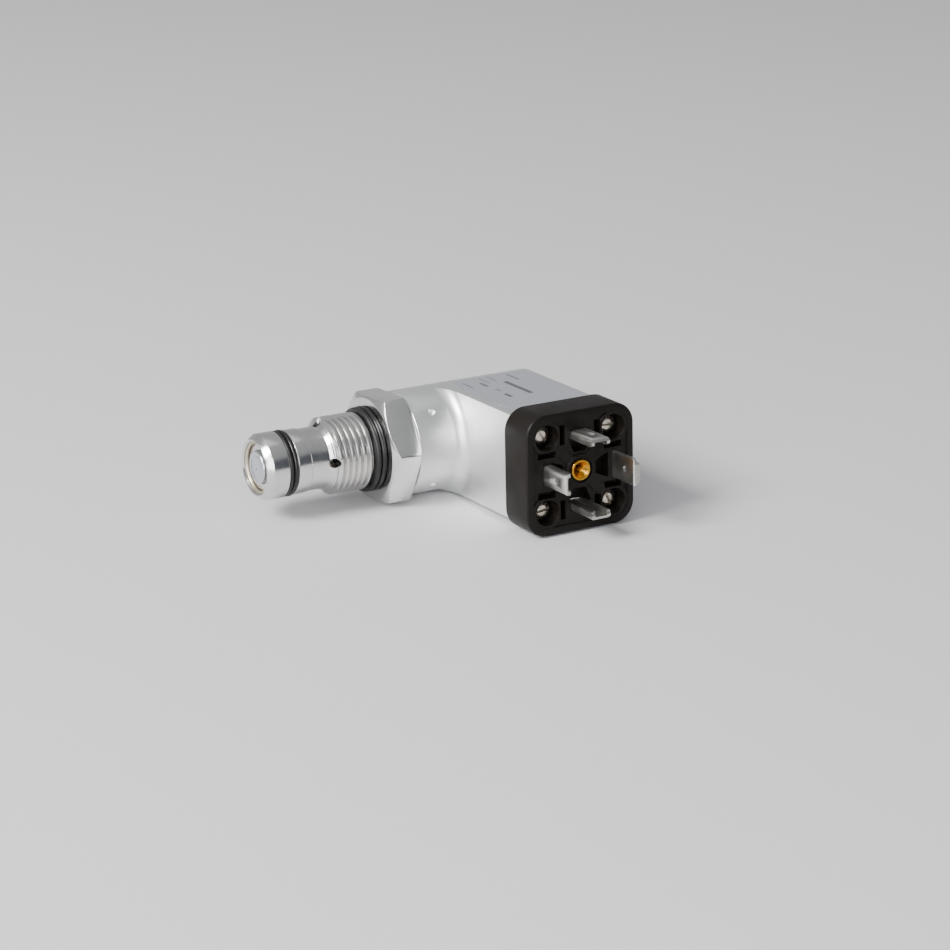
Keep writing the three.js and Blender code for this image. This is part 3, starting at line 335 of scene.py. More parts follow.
def turned(name, profile, facets=None, closed=True, axis="X", centre=(0, 0, 0)):
    """Spins a profile of (along, radius, round) points about an axis through the centre."""
    line = rounded(profile, closed)
    centre = Vector(centre)
    along, out = {"X": ((1, 0, 0), (0, 0, 1)), "Y": ((0, 1, 0), (0, 0, 1)),
                  "Z": ((0, 0, 1), (1, 0, 0))}[axis]
    along, out = Vector(along), Vector(out)
    piece = trace(name, [centre + along * x + out * r for x, r in line])
    bpy.ops.mesh.spin(
        steps=facets or sizes().facets, angle=2 * math.pi, center=centre, axis=along)
    bpy.ops.mesh.select_all(action="SELECT")
    bpy.ops.mesh.remove_doubles(threshold=0.002 * MM)
    bpy.ops.mesh.dissolve_degenerate(threshold=0.001 * MM)
    bpy.ops.mesh.select_all(action="SELECT")
    bpy.ops.mesh.normals_make_consistent(inside=False)
    close()
    return piece


def rod(name, along, radius, axis="X", centre=(0, 0, 0), edge=0.0, facets=None):
    """Round rod between two places along an axis, with rounded ends."""
    a, b = along
    profile = [(a, 0), (a, radius, edge), (b, radius, edge), (b, 0)]
    return turned(name, profile, facets, closed=False, axis=axis, centre=centre)


def block(name, lowest, highest, edge=0.0, segments=3):
    """Block between two corners, with its edges rounded."""
    lowest, highest = Vector(lowest), Vector(highest)
    piece = start(
        name, bpy.ops.mesh.primitive_cube_add, size=1,
        location=(lowest + highest) / 2, stretch=highest - lowest)
    if edge:
        bpy.ops.mesh.bevel(offset=edge, segments=segments, affect="EDGES")
    close()
    return piece


def slab(name, centre, side, corner, y0, y1, edge=0.0):
    """Square plate with round corners, standing across Y from y0 forward to y1."""
    piece = start(
        name, bpy.ops.mesh.primitive_plane_add, size=side,
        location=(centre.x, y0, centre.z), rotation=(QUARTER, 0, 0))
    if corner:
        bpy.ops.mesh.bevel(offset=corner, segments=12, affect="VERTICES")
    bpy.ops.mesh.select_all(action="SELECT")
    bpy.ops.mesh.extrude_region_move(TRANSFORM_OT_translate={"value": (0, y1 - y0, 0)})
    if edge:
        pick(piece, "EDGE", lambda a, b: abs(a.y - y1) < 1e-6 and abs(b.y - y1) < 1e-6)
        bpy.ops.mesh.bevel(offset=edge, segments=3, affect="EDGES")
    bpy.ops.mesh.select_all(action="SELECT")
    bpy.ops.mesh.normals_make_consistent(inside=False)
    close()
    return piece


def turn(piece, angle, axis, centre=(0, 0, 0)):
    """Turns the piece's mesh about an axis through the centre, by the right-hand rule.

    With no window the operator turns the other way, so it is given the angle with its sign changed.
    """
    alone(piece)
    bpy.ops.object.mode_set(mode="EDIT")
    bpy.ops.mesh.select_mode(type="VERT")
    bpy.ops.mesh.select_all(action="SELECT")
    bpy.ops.transform.rotate(value=-angle, orient_axis=axis, center_override=centre)
    return close()


def finish(piece, body, material, slot, *nodes, angle=35, keep_materials=False):
    """Shades a piece, gives it its material, ties it to its body and hides the imported nodes that it stands for."""
    alone(piece)
    bpy.ops.object.mode_set(mode="EDIT")
    bpy.ops.mesh.select_mode(type="VERT")
    bpy.ops.mesh.select_all(action="SELECT")
    bpy.ops.mesh.remove_doubles(threshold=0.001 * MM)
    bpy.ops.mesh.dissolve_degenerate(threshold=0.001 * MM)
    close()
    bpy.ops.object.shade_smooth_by_angle(angle=math.radians(angle))
    if not keep_materials:
        piece.data.materials.clear()
        piece.data.materials.append(material)
    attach(piece, body)
    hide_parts(*nodes)
    return piece


# ---------------------------------------------------------------- materials

def add(tree, kind, links=None, **settings):
    """Adds a node with its settings and its links, which are named by input."""
    node = tree.nodes.new(kind)
    for key, value in settings.items():
        if hasattr(node, key):
            setattr(node, key, value)
        else:
            node.inputs[key.replace("_", " ")].default_value = value
    for key, value in (links or {}).items():
        if isinstance(value, (int, float, tuple)):
            node.inputs[key].default_value = value
        else:
            tree.links.new(value, node.inputs[key])
    return node


def worn(name, base, metallic, gloss, patch, skin, depth, dark=0.9, **sockets):
    """A material whose tone and gloss drift in patches, over a finer skin that raises a bump.

    gloss is the roughness of the brightest and of the dullest patch, and dark is the tone of the
    dullest. patch and skin are the sizes of their features along X, Y and Z, and depth is the
    height of the skin, all in millimetres.
    """
    material = bpy.data.materials.new(name)
    material.use_nodes = True
    tree = material.node_tree
    shader = tree.nodes["Principled BSDF"]
    shader.inputs["Metallic"].default_value = metallic
    for key, value in sockets.items():
        shader.inputs[key.replace("_", " ")].default_value = value
    where = add(tree, "ShaderNodeTexCoord").outputs["Object"]
    noises = []
    for extent in (patch, skin):
        scale = tuple(1 / (size * MM) for size in extent)
        scaled = add(tree, "ShaderNodeMapping", {"Vector": where, "Scale": scale})
        noises.append(add(tree, "ShaderNodeTexNoise", {
            "Vector": scaled.outputs["Vector"], "Scale": 1.0, "Detail": 4.0}).outputs["Fac"])
    tone = add(tree, "ShaderNodeMapRange", {"Value": noises[0], "From Min": 0.3, "From Max": 0.7})
    dull = tuple(c * dark for c in base)
    mix = add(tree, "ShaderNodeMix", {
        "Factor": tone.outputs["Result"], "A": (*dull, 1.0), "B": (*base, 1.0)}, data_type="RGBA")
    rough = add(tree, "ShaderNodeMapRange", {
        "Value": noises[0], "From Min": 0.3, "From Max": 0.7, "To Min": gloss[1], "To Max": gloss[0]})
    raised = add(tree, "ShaderNodeBump", {"Height": noises[1], "Strength": 1.0, "Distance": depth * MM})
    tree.links.new(mix.outputs["Result"], shader.inputs["Base Color"])
    tree.links.new(rough.outputs["Result"], shader.inputs["Roughness"])
    tree.links.new(raised.outputs["Normal"], shader.inputs["Normal"])
    return material


def turned_metal(name, base, gloss, feed, along=(1, 0, 0), centre=(0, 0, 0)):
    """A worn metal with the rings that a lathe tool leaves along and across its axis."""
    streak = tuple(0.5 if a else 5.0 for a in along)
    fine = tuple(0.17 if a else 4.0 for a in along)
    material = worn(name, base, 1.0, gloss, streak, fine, 0.003, 0.94)
    tree = material.node_tree
    raised = tree.nodes["Bump"]
    where = tree.nodes["Texture Coordinate"].outputs["Object"]
    skin = raised.inputs["Height"].links[0].from_socket
    across = tuple(1 - a for a in along)
    spot = add(tree, "ShaderNodeVectorMath", {0: where, 1: tuple(centre)}, operation="SUBTRACT")
    spot = spot.outputs["Vector"]
    travel = add(tree, "ShaderNodeVectorMath", {0: spot, 1: along}, operation="DOT_PRODUCT")
    spoke = add(tree, "ShaderNodeVectorMath", {0: spot, 1: across}, operation="MULTIPLY")
    radius = add(tree, "ShaderNodeVectorMath", {0: spoke.outputs["Vector"]}, operation="LENGTH")
    path = add(tree, "ShaderNodeMath", {0: travel.outputs["Value"], 1: radius.outputs["Value"]},
               operation="ADD")
    phase = add(tree, "ShaderNodeMath", {0: path.outputs[0], 1: 2 * math.pi / (feed * MM)},
                operation="MULTIPLY")
    rings = add(tree, "ShaderNodeMath", {0: phase.outputs[0]}, operation="SINE")
    height = add(tree, "ShaderNodeMath", {0: rings.outputs[0], 1: 0.35, 2: skin}, operation="MULTIPLY_ADD")
    tree.links.new(height.outputs[0], raised.inputs["Height"])
    return material


# Blank printed bars of the label as shares of its sides: from and to along the label, from the
# neck's end, then the middle and the thickness across it, and the strength of the ink.
PRINTED_BARS = (
    (0.03, 0.22, 0.72, 0.035, 0.55), (0.03, 0.17, 0.47, 0.022, 0.5), (0.03, 0.19, 0.36, 0.022, 0.5),
    (0.21, 0.60, 0.54, 0.060, 0.8), (0.15, 0.27, 0.27, 0.040, 0.7), (0.08, 0.24, 0.10, 0.030, 0.5),
    (0.36, 0.43, 0.29, 0.025, 0.6), (0.51, 0.61, 0.27, 0.045, 0.8),
)


def label_foil(base, ink, lowest, highest):
    """Printed label: satin metal foil with blank bars of grey ink, and no lettering."""
    material = worn("printed_label_foil", base, 0.85, (0.30, 0.40), (4, 4, 4), (3, 0.16, 1), 0.003, 0.95)
    tree = material.node_tree
    where = tree.nodes["Texture Coordinate"].outputs["Object"]
    size = highest - lowest
    printed = 0.0
    for start_, end, across, thickness, strength in PRINTED_BARS:
        centre = (lowest.x + across * size.x, highest.y - (start_ + end) / 2 * size.y, 0)
        scale = (2 / (thickness * size.x), 2 / ((end - start_) * size.y), 0)
        away = add(tree, "ShaderNodeVectorMath", {0: where, 1: centre}, operation="SUBTRACT")
        away = add(tree, "ShaderNodeVectorMath", {0: away.outputs[0], 1: scale}, operation="MULTIPLY")
        away = add(tree, "ShaderNodeVectorMath", {0: away.outputs[0]}, operation="ABSOLUTE")
        apart = add(tree, "ShaderNodeSeparateXYZ", {0: away.outputs[0]})
        worst = add(tree, "ShaderNodeMath", {0: apart.outputs["X"], 1: apart.outputs["Y"]},
                    operation="MAXIMUM")
        inside = add(tree, "ShaderNodeMath", {0: worst.outputs[0], 1: 1.0}, operation="LESS_THAN")
        printed = add(tree, "ShaderNodeMath", {0: inside.outputs[0], 1: strength, 2: printed},
                      operation="MULTIPLY_ADD").outputs[0]
    plain = tree.nodes["Mix"].outputs["Result"]
    inked = add(tree, "ShaderNodeMix", {"Factor": printed, "B": (*ink, 1.0)}, data_type="RGBA")
    tree.links.new(plain, inked.inputs["A"])
    tree.links.new(inked.outputs["Result"], tree.nodes["Principled BSDF"].inputs["Base Color"])
    return material


MATERIALS = {}

# Tone of the room by height, from the horizon at 0 to the zenith at 1.
ROOM_FRONT = ((0.0, "54575e"), (0.40, "5f636b"), (0.55, "a2a4a7"), (1.0, "bcbdbf"))
ROOM_BACK = ((0.0, "c2c2c2"), (0.3, "bdbec0"), (0.6, "b2b3b6"), (1.0, "bcbdbf"))


def make_materials():
    """One material for each finish, named for what it is and how its surface was made."""
    tone = bpy.context.scene.finishes
    made = MATERIALS
    # Turned bar: rings of the tool's feed, drawn three times as coarse as the real 0.08 mm so that
    # they show, draw each highlight out into a bright band along the axis.
    made["machined_aluminium"] = turned_metal("turned_aluminium", tone.turned, (0.14, 0.24), 0.24)
    # Hexagon bar as drawn: faint lines along the flats and duller patches of handling.
    made["drawn_aluminium"] = worn(
        "drawn_aluminium", tone.drawn, 1.0, (0.17, 0.28), (5, 5, 5), (5, 0.35, 0.35), 0.006)
    # Machined, etched and clear anodised: an even white satin with faint streaks of the cutter.
    made["satin_aluminium"] = worn(
        "satin_anodised_aluminium", tone.satin, 1.0, (0.37, 0.46), (7, 7, 7), (0.5, 5, 0.5), 0.006)
    made["label_foil"] = label_foil(tone.foil, tone.ink, *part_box("label"))
    # Ground piston: finer and bluer than the turned bar, with the rings of its faced end.
    made["ground_steel"] = turned_metal("ground_steel", tone.steel, (0.22, 0.28), 0.2)
    # Tempered wire: straw coloured, with the dull bloom of the furnace.
    made["spring_steel"] = worn(
        "tempered_spring_wire", tone.bronze, 1.0, (0.28, 0.42), (0.8, 0.8, 0.8), (0.1, 0.6, 0.6), 0.004)
    # Nickel plated steel: warm and bright, scuffed dull where the driver slipped.
    made["nickel_steel"] = worn(
        "nickel_plated_steel", tone.nickel, 1.0, (0.18, 0.36), (1, 1, 1), (0.3, 0.3, 0.3), 0.008, 0.8)
    # Tinned strip: soft grey plating with rolling lines along each blade and rubbed patches.
    made["tinned_copper"] = worn(
        "tinned_contact_strip", tone.tin, 1.0, (0.3, 0.44), (1.6, 3, 1.6), (0.2, 2, 0.2), 0.006, 0.82)
    # Turned brass: deep yellow, with rings round the insert's own axis.
    made["brass"] = turned_metal("turned_brass", tone.brass, (0.2, 0.32), 0.2, (0, 1, 0), CONNECTOR)
    # Moulded nitrile: wet-looking black with a trace of bloom.
    made["nitrile_rubber"] = worn(
        "moulded_nitrile", tone.rubber, 0.0, (0.26, 0.38), (2, 2, 2), (0.15, 0.15, 0.15), 0.006, 0.6)
    # Harder rings: the same black with a duller, drier face.
    made["hard_nitrile"] = worn(
        "moulded_hard_nitrile", tone.hard_rubber, 0.0, (0.36, 0.5), (2, 2, 2), (0.15, 0.15, 0.15),
        0.006, 0.6)
    # Gasket sheet: matt red-brown rubber with a cut edge.
    made["gasket_rubber"] = worn(
        "gasket_sheet", tone.gasket, 0.0, (0.55, 0.7), (2, 2, 2), (0.25, 0.25, 0.25), 0.01, 0.8)
    # Glass-filled nylon from a spark-eroded mould: a matt grain of 0.16 mm over warm black.
    made["black_nylon"] = worn(
        "moulded_black_nylon", tone.nylon, 0.0, (0.38, 0.50), (6, 6, 6), (0.16, 0.16, 0.16), 0.012, 0.75,
        IOR=1.53, Specular_IOR_Level=0.18)
    # Sintered ferrite: dark and granular, with a dull metallic glint.
    made["ferrite"] = worn(
        "sintered_ferrite", linear("3b3b3f"), 0.3, (0.5, 0.6), (0.5, 0.5, 0.5), (0.1, 0.1, 0.1), 0.02, 0.7)
    # Drawn glass: clear and smooth, a little uneven along the tube.
    made["reed_glass"] = worn(
        "reed_glass", linear("b9d3c6"), 0.0, (0.04, 0.08), (0.8, 0.8, 0.8), (2, 0.5, 0.5), 0.004,
        Transmission_Weight=0.9)
    # Laminate under lacquer, and extruded insulation: even colours with a soft gloss.
    for slot, code in (("board_laminate", "2f6a45"), ("lead_red", "a33a2e"), ("lead_blue", "2c4f9a"),
                       ("lead_black", "2a2a2a"), ("lead_green_yellow", "5d8a34")):
        made[slot] = worn(
            slot, linear(code), 0.0, (0.35, 0.5), (0.8, 0.8, 0.8), (0.3, 0.3, 0.3), 0.01, 0.85)


# ---------------------------------------------------------------- the cartridge

def stations():
    """Places along the cartridge axis, from the seat face towards the nose."""
    s = sizes()
    places = {"groove": -s.seat_groove}
    places["thread"] = places["groove"] - s.thread_length
    places["step"] = places["thread"] - s.rear_length
    places["groove_rear"] = places["step"] - s.front_length
    places["groove_front"] = places["groove_rear"] - s.nose_groove
    places["chamfer"] = places["groove_front"] - s.nose_land
    places["rim"] = places["chamfer"] - s.nose_chamfer
    return places


def cartridge_core():
    """The turned body from nose to spigot, with the bore that holds the inner pieces."""
    s, at = sizes(), stations()
    root = s.thread_radius - s.thread_depth
    groove = s.nose_radius - 1.45 * MM
    seat = s.thread_radius - 1.2 * MM
    edge = s.edge
    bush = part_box("guide_bush")
    ring = middle("snap_ring").x
    piston_bore = high("sensing_piston").z + 0.1 * MM
    magnet_bore = high("magnet").z + 0.3 * MM
    step = high("spring_washer").x + 0.05 * MM
    spigot = high("neck_seal").z
    tool = 0.45 * MM
    end = SPIGOT_END_X
    wall = end - 1.8 * MM
    return turned("turned_body", [
        (wall, 0),
        (wall, magnet_bore),
        (step, magnet_bore),
        (step, piston_bore),
        (bush[1].x + 0.05 * MM, piston_bore),
        (bush[1].x + 0.05 * MM, s.recess_radius),
        (ring + 0.45 * MM, s.recess_radius),
        (ring + 0.45 * MM, s.recess_radius + 0.4 * MM),
        (ring - 0.45 * MM, s.recess_radius + 0.4 * MM),
        (ring - 0.45 * MM, s.recess_radius),
        (at["rim"] + 0.35 * MM, s.recess_radius),
        (at["rim"], s.recess_radius + 0.4 * MM, 0.05 * MM),
        (at["rim"], s.rim_radius, 0.1 * MM),
        (at["chamfer"], s.nose_radius, 0.25 * MM),
        (at["groove_front"], s.nose_radius, edge),
        (at["groove_front"], groove, 0.2 * MM),
        (at["groove_rear"], groove, 0.2 * MM),
        (at["groove_rear"], s.front_radius, edge),
        (at["step"], s.front_radius, 0.08 * MM),
        (at["step"] + s.front_radius - s.rear_radius, s.rear_radius, 0.08 * MM),
        (at["thread"] - 0.2 * MM, s.rear_radius),
        (at["thread"] + root - s.rear_radius, root),
        (at["groove"], root),
        (at["groove"], seat),
        (0.5 * s.hexagon_length, seat),
        (0.5 * s.hexagon_length, spigot - 1.5 * MM),
        (high("neck_seal").x + 0.1 * MM, spigot - 1.5 * MM),
        (high("neck_seal").x + 0.1 * MM, spigot, edge),
        (end, spigot, tool),
        (end, 0),
    ], closed=False)


def coiled(name, section, turns, advance, facets):
    """Closed coil about the X axis, from a section of (along, radius) points."""
    coil = trace(name, [(x, 0, r) for x, r in section])
    bpy.ops.mesh.remove_doubles(threshold=0.001 * MM)
    close()
    steps = round(facets * turns)
    apply(coil, "SCREW", axis="X", angle=2 * math.pi * turns, screw_offset=advance,
          steps=steps, render_steps=steps, iterations=1)
    bpy.ops.object.mode_set(mode="EDIT")
    bpy.ops.mesh.select_all(action="DESELECT")
    bpy.ops.mesh.select_mode(type="EDGE")
    bpy.ops.mesh.select_non_manifold()
    bpy.ops.mesh.fill()
    bpy.ops.mesh.select_all(action="SELECT")
    bpy.ops.mesh.normals_make_consistent(inside=False)
    close()
    return coil


def circle(along, radius, wire, points):
    """Round section of a wire, as (along, radius) points that end where they start."""
    return [(along + 0.5 * wire * math.cos(a), radius + 0.5 * wire * math.sin(a))
            for a in (2 * math.pi * k / points for k in range(points + 1))]


def thread_tooth():
    """One helical tooth with a rounded crest, trimmed by the lead-in and the run-out."""
    s, at = sizes(), stations()
    root = s.thread_radius - s.thread_depth
    sink = 0.3 * MM
    half, crest = 0.44 * s.thread_pitch, 0.1 * s.thread_pitch
    begin = at["thread"] - 0.1 * s.thread_pitch
    section = rounded([
        (begin - half, root - sink),
        (begin - crest, s.thread_radius, 0.12 * MM),
        (begin + crest, s.thread_radius, 0.12 * MM),
        (begin + half, root - sink),
    ])
    turns = (at["groove"] - begin) / s.thread_pitch + 0.5
    tooth = coiled("tooth", section, turns, s.thread_pitch * turns, 96)
    chamfer = s.thread_radius - s.rear_radius
    envelope = turned("envelope", [
        (at["thread"], 0),
        (at["thread"], s.rear_radius),
        (at["thread"] + 0.8 * chamfer, s.thread_radius),
        (at["groove"] - 0.45 * MM, s.thread_radius + 0.02 * MM),
        (at["groove"], root),
        (at["groove"], 0),
    ], closed=False)
    return combine(tooth, "INTERSECT", envelope)


def hexagon():
    """Hexagon with rounded corners, cut by the turned chamfers at its front and back."""
    s = sizes()
    corner = s.hexagon / math.sqrt(3)
    face = s.hexagon / 2 - 0.3 * MM
    rise = (corner - face) * math.tan(math.radians(30))
    prism = start(
        "hexagon", bpy.ops.mesh.primitive_cylinder_add, vertices=6, radius=corner,
        depth=s.hexagon_length, location=(s.hexagon_length / 2, 0, 0), rotation=(0, QUARTER, 0))
    pick(prism, "EDGE", lambda a, b: abs(a.x - b.x) > 0.5 * s.hexagon_length)
    bpy.ops.mesh.bevel(offset=0.3 * MM, segments=4, affect="EDGES")
    close()
    corners = [v.co for v in prism.data.vertices]
    first = max(corners, key=lambda co: co.y)
    turn(prism, s.hexagon_turn + (QUARTER / 3 if abs(first.z) > 2 * MM else 0), "X")
    envelope = turned("envelope", [
        (0, 0),
        (0, face, 0.1 * MM),
        (rise, corner + 0.01 * MM),
        (s.hexagon_length - 0.5 * rise, corner + 0.01 * MM),
        (s.hexagon_length, corner - 0.5 * rise / math.tan(math.radians(30)), 0.1 * MM),
        (s.hexagon_length, 0),
    ], closed=False)
    return combine(prism, "INTERSECT", envelope)


def break_edges(body):
    """Takes the sharpness off the hexagon's edges, once it is one with the body."""
    s = sizes()
    inside = s.hexagon / 2 - 0.5 * MM
    alone(body)
    bpy.ops.object.mode_set(mode="EDIT")
    bpy.ops.mesh.select_mode(type="EDGE")
    bpy.ops.mesh.select_all(action="DESELECT")
    bpy.ops.mesh.edges_select_sharp(sharpness=math.radians(24))
    close()
    sharp = iter([edge.select for edge in body.data.edges])
    bpy.ops.object.mode_set(mode="EDIT")
    pick(body, "EDGE", lambda a, b: (
        next(sharp) and min(a.x, b.x) > -0.01 * MM and min(a.yz.length, b.yz.length) > inside))
    bpy.ops.mesh.bevel(offset=0.08 * MM, segments=2, affect="EDGES", clamp_overlap=False)
    close()


def build_cartridge():
    s, at = sizes(), stations()
    hexagonal = hexagon()
    bored = rod("bored", (-MM, s.hexagon_length + MM), 6.5 * MM)
    combine(hexagonal, "DIFFERENCE", bored)
    body = combine(cartridge_core(), "UNION", thread_tooth(), hexagonal)
    across = at["thread"] + s.cross_hole / 4
    drills = []
    for i in range(4):
        drill = rod("drill", (2 * MM, s.thread_radius + MM), s.cross_hole / 2, "Z",
                    (across, 0, 0), facets=40)
        drills.append(turn(drill, s.hexagon_turn + i * QUARTER, "X"))
    combine(body, "DIFFERENCE", *drills)
    body.data.materials.clear()
    body.data.materials.append(MATERIALS["machined_aluminium"])
    body.data.materials.append(MATERIALS["drawn_aluminium"])
    break_edges(body)
    alone(body)
    bpy.ops.object.mode_set(mode="EDIT")
    flat = s.hexagon / 2
    pick(body, "FACE", lambda centre, normal: (
        abs(normal.x) < 0.02 and 0 < centre.x < s.hexagon_length
        and abs(math.hypot(centre.y * normal.y + centre.z * normal.z, 0) - flat) < 0.02 * MM))
    body.active_material_index = 1
    bpy.ops.object.material_slot_assign()
    close()
    finish(body, "cartridge", None, "machined_aluminium", "cartridge_body", angle=28,
           keep_materials=True)


def oval_seal(name, body, material, slot, facets=None):
    """Rubber ring pressed to a rounded oblong in its groove."""
    lowest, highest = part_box(name)
    inner = {"nose": 6.3, "seat": 7.9}[name.split("_")[0]] * MM
    outer = highest.z
    width, height = highest.x - lowest.x, outer - inner
    half = min(width, height) / 2
    ring = turned(name + "_ring", [
        (lowest.x, inner, half * 0.9), (lowest.x, outer, half * 0.95),
        (highest.x, outer, half * 0.95), (highest.x, inner, half * 0.9),
    ], facets)
    return finish(ring, body, MATERIALS[material], slot, name, angle=60)


def build_seals():
    oval_seal("nose_backup_ring", "cartridge", "hard_nitrile", "hard_nitrile")
    oval_seal("nose_o_ring", "cartridge", "nitrile_rubber", "nitrile_rubber")
    oval_seal("seat_backup_ring", "cartridge", "hard_nitrile", "hard_nitrile")
    oval_seal("seat_o_ring", "cartridge", "nitrile_rubber", "nitrile_rubber")


def build_nose():
    """Guide bush, snap ring and the face of the piston in the nose."""
    lowest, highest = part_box("guide_bush")
    bore = high("sensing_piston").z + 0.1 * MM
    bush = turned("guide_bush_ring", [
        (lowest.x, bore, 0.1 * MM), (lowest.x, highest.z, 0.3 * MM),
        (highest.x, highest.z, 0.1 * MM), (highest.x, bore, 0.1 * MM),
    ])
    finish(bush, "cartridge", MATERIALS["machined_aluminium"], "machined_aluminium", "guide_bush")

    lowest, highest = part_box("snap_ring")
    wire = highest.x - lowest.x
    radius = highest.y - wire / 2
    centre = (lowest.x + highest.x) / 2
    gap = math.radians(24)
    ring = trace("snap_ring_wire", [(x, 0, r) for x, r in circle(centre, radius, wire, 16)])
    bpy.ops.mesh.remove_doubles(threshold=0.001 * MM)
    bpy.ops.mesh.select_all(action="SELECT")
    bpy.ops.mesh.edge_face_add()
    bpy.ops.mesh.spin(steps=120, angle=2 * math.pi - gap, center=(0, 0, 0), axis=(1, 0, 0))
    bpy.ops.mesh.select_all(action="SELECT")
    bpy.ops.mesh.normals_make_consistent(inside=False)
    close()
    turn(ring, -gap / 2, "X")
    finish(ring, "cartridge", MATERIALS["spring_steel"], "spring_steel", "snap_ring", angle=50)

    lowest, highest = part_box("sensing_piston")
    radius = highest.z
    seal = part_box("piston_seal")
    stem = 1.6 * MM
    tip = 1.0 * MM
    rear = low("piston_spring").x - 0.05 * MM
    shoulder = low("magnet").x - 0.05 * MM
    dimple = 0.5 * MM
    piston = turned("sensing_piston_rod", [
        (lowest.x + 0.9 * dimple, 0), (lowest.x, dimple, 0.06 * MM),
        (lowest.x, 2.7 * MM), (lowest.x + 0.05 * MM, 2.78 * MM), (lowest.x, 2.86 * MM),
        (lowest.x, radius, 0.3 * MM),
        (seal[0].x - 0.1 * MM, radius, 0.1 * MM), (seal[0].x - 0.1 * MM, radius - MM, 0.1 * MM),
        (seal[1].x + 0.1 * MM, radius - MM, 0.1 * MM), (seal[1].x + 0.1 * MM, radius, 0.1 * MM),
        (rear, radius, 0.2 * MM), (rear, stem, 0.2 * MM),
        (shoulder, stem, 0.1 * MM), (shoulder, tip, 0.1 * MM),
        (highest.x, tip, 0.2 * MM), (highest.x, 0),
    ], closed=False)
    finish(piston, "piston", MATERIALS["ground_steel"], "ground_steel", "sensing_piston")


def build_spring():
    """Spring behind the piston."""
    s = sizes()
    lowest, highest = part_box("piston_spring")
    wire = s.spring_wire
    section = circle(lowest.x + wire / 2, highest.z - wire / 2, wire, 12)
    coil = coiled("piston_spring_coil", section, s.spring_turns, highest.x - lowest.x - wire, 32)
    finish(coil, "cartridge", MATERIALS["spring_steel"], "spring_steel", "piston_spring", angle=50)
    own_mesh(coil)


# ---------------------------------------------------------------- the housing

def build_housing():
    h = head()
    block_x = NECK_X + h.neck
    shell = start(
        "housing_shell", bpy.ops.mesh.primitive_cylinder_add, vertices=sizes().facets, radius=h.radius,
        depth=h.neck, location=(NECK_X + h.neck / 2, 0, 0), rotation=(0, QUARTER, 0))
    near = 0.01 * MM
    pick(shell, "FACE", lambda c, n: n.x > 0.9)
    bpy.ops.mesh.extrude_region_move(TRANSFORM_OT_translate={"value": (BLOCK_END_X - block_x, 0, 0)})
    pick(shell, "FACE", lambda c, n: c.x > block_x + near and c.y < 0 and abs(n.x) < 0.1)
    bpy.ops.mesh.extrude_region_move(TRANSFORM_OT_translate={"value": (0, SEAT_Y, 0)})
    bpy.ops.transform.resize(value=(1, 0, 1), center_override=(0, SEAT_Y, 0))
    bpy.ops.mesh.dissolve_limited(angle_limit=math.radians(0.5))
    pick(shell, "FACE", lambda c, n: abs(n.x) > 0.99)
    bpy.ops.mesh.dissolve_limited(angle_limit=math.radians(0.5))
    pick(shell, "FACE", lambda c, n: abs(n.z) > 0.9999 and c.y < 0)
    bpy.ops.mesh.dissolve_limited(angle_limit=math.radians(0.5))
    close()

    # The hollow between neck and block, on the connector's side only.
    begin = block_x - h.fillet
    arc = [(begin + h.fillet * math.sin(a), h.radius + h.fillet * (1 - math.cos(a)))
           for a in (QUARTER * k / 14 for k in range(15))]
    sink = 0.4 * MM
    ring = turned("fillet", [
        (begin, h.radius - sink), *arc,
        (block_x + sink, h.radius + h.fillet), (block_x + sink, h.radius - sink),
    ])
    side = block("side", (begin - MM, SEAT_Y, -h.radius), (block_x + sink, 0, h.radius))
    combine(ring, "INTERSECT", side)
    combine(shell, "UNION", ring)

    alone(shell)
    bpy.ops.object.mode_set(mode="EDIT")
    outer = h.radius + h.fillet
    reach = -math.sqrt(outer ** 2 - h.radius ** 2)

    def at_x(a, b, x):
        return abs(a.x - x) < near and abs(b.x - x) < near

    def crisp(a, b):
        """Edges round the block's end, round its seat, and along its free front edges."""
        if at_x(a, b, BLOCK_END_X):
            return True
        if abs(a.y - SEAT_Y) < near and abs(b.y - SEAT_Y) < near:
            return True
        free = max(a.y, b.y) < reach + near and abs(abs(a.z) - h.radius) < near
        return free and at_x(a, b, block_x) and abs(a.z - b.z) < near

    pick(shell, "EDGE", crisp)
    bpy.ops.mesh.bevel(offset=h.edge, segments=4, affect="EDGES", clamp_overlap=True)
    pick(shell, "EDGE", lambda a, b: at_x(a, b, NECK_X))
    bpy.ops.mesh.bevel(offset=h.edge, segments=3, affect="EDGES", clamp_overlap=True)
    close()

    bore = rod("bore", (NECK_X - MM, BLOCK_END_X - h.bore_end), h.bore_radius)
    cavity = rod("cavity", (SEAT_Y - MM, 0), h.cavity_radius, "Y", CONNECTOR)
    combine(shell, "DIFFERENCE", bore, cavity)
    stake_x = NECK_X + h.stake_setback
    for i in range(4):
        mark = turned("stake", [
            (h.radius - 0.75 * MM, 0), (h.radius - 0.7 * MM, 0.35 * MM, 0.15 * MM),
            (h.radius - 0.12 * MM, h.stake_radius * 0.72, 0.2 * MM),
            (h.radius + 0.3 * MM, h.stake_radius * 1.5), (h.radius + 0.3 * MM, 0),
        ], 32, closed=False, axis="Z", centre=(stake_x, 0, 0))
        combine(shell, "DIFFERENCE", turn(mark, QUARTER / 2 + i * QUARTER, "X"))
    finish(shell, "housing", MATERIALS["satin_aluminium"], "satin_aluminium", "housing", angle=25)


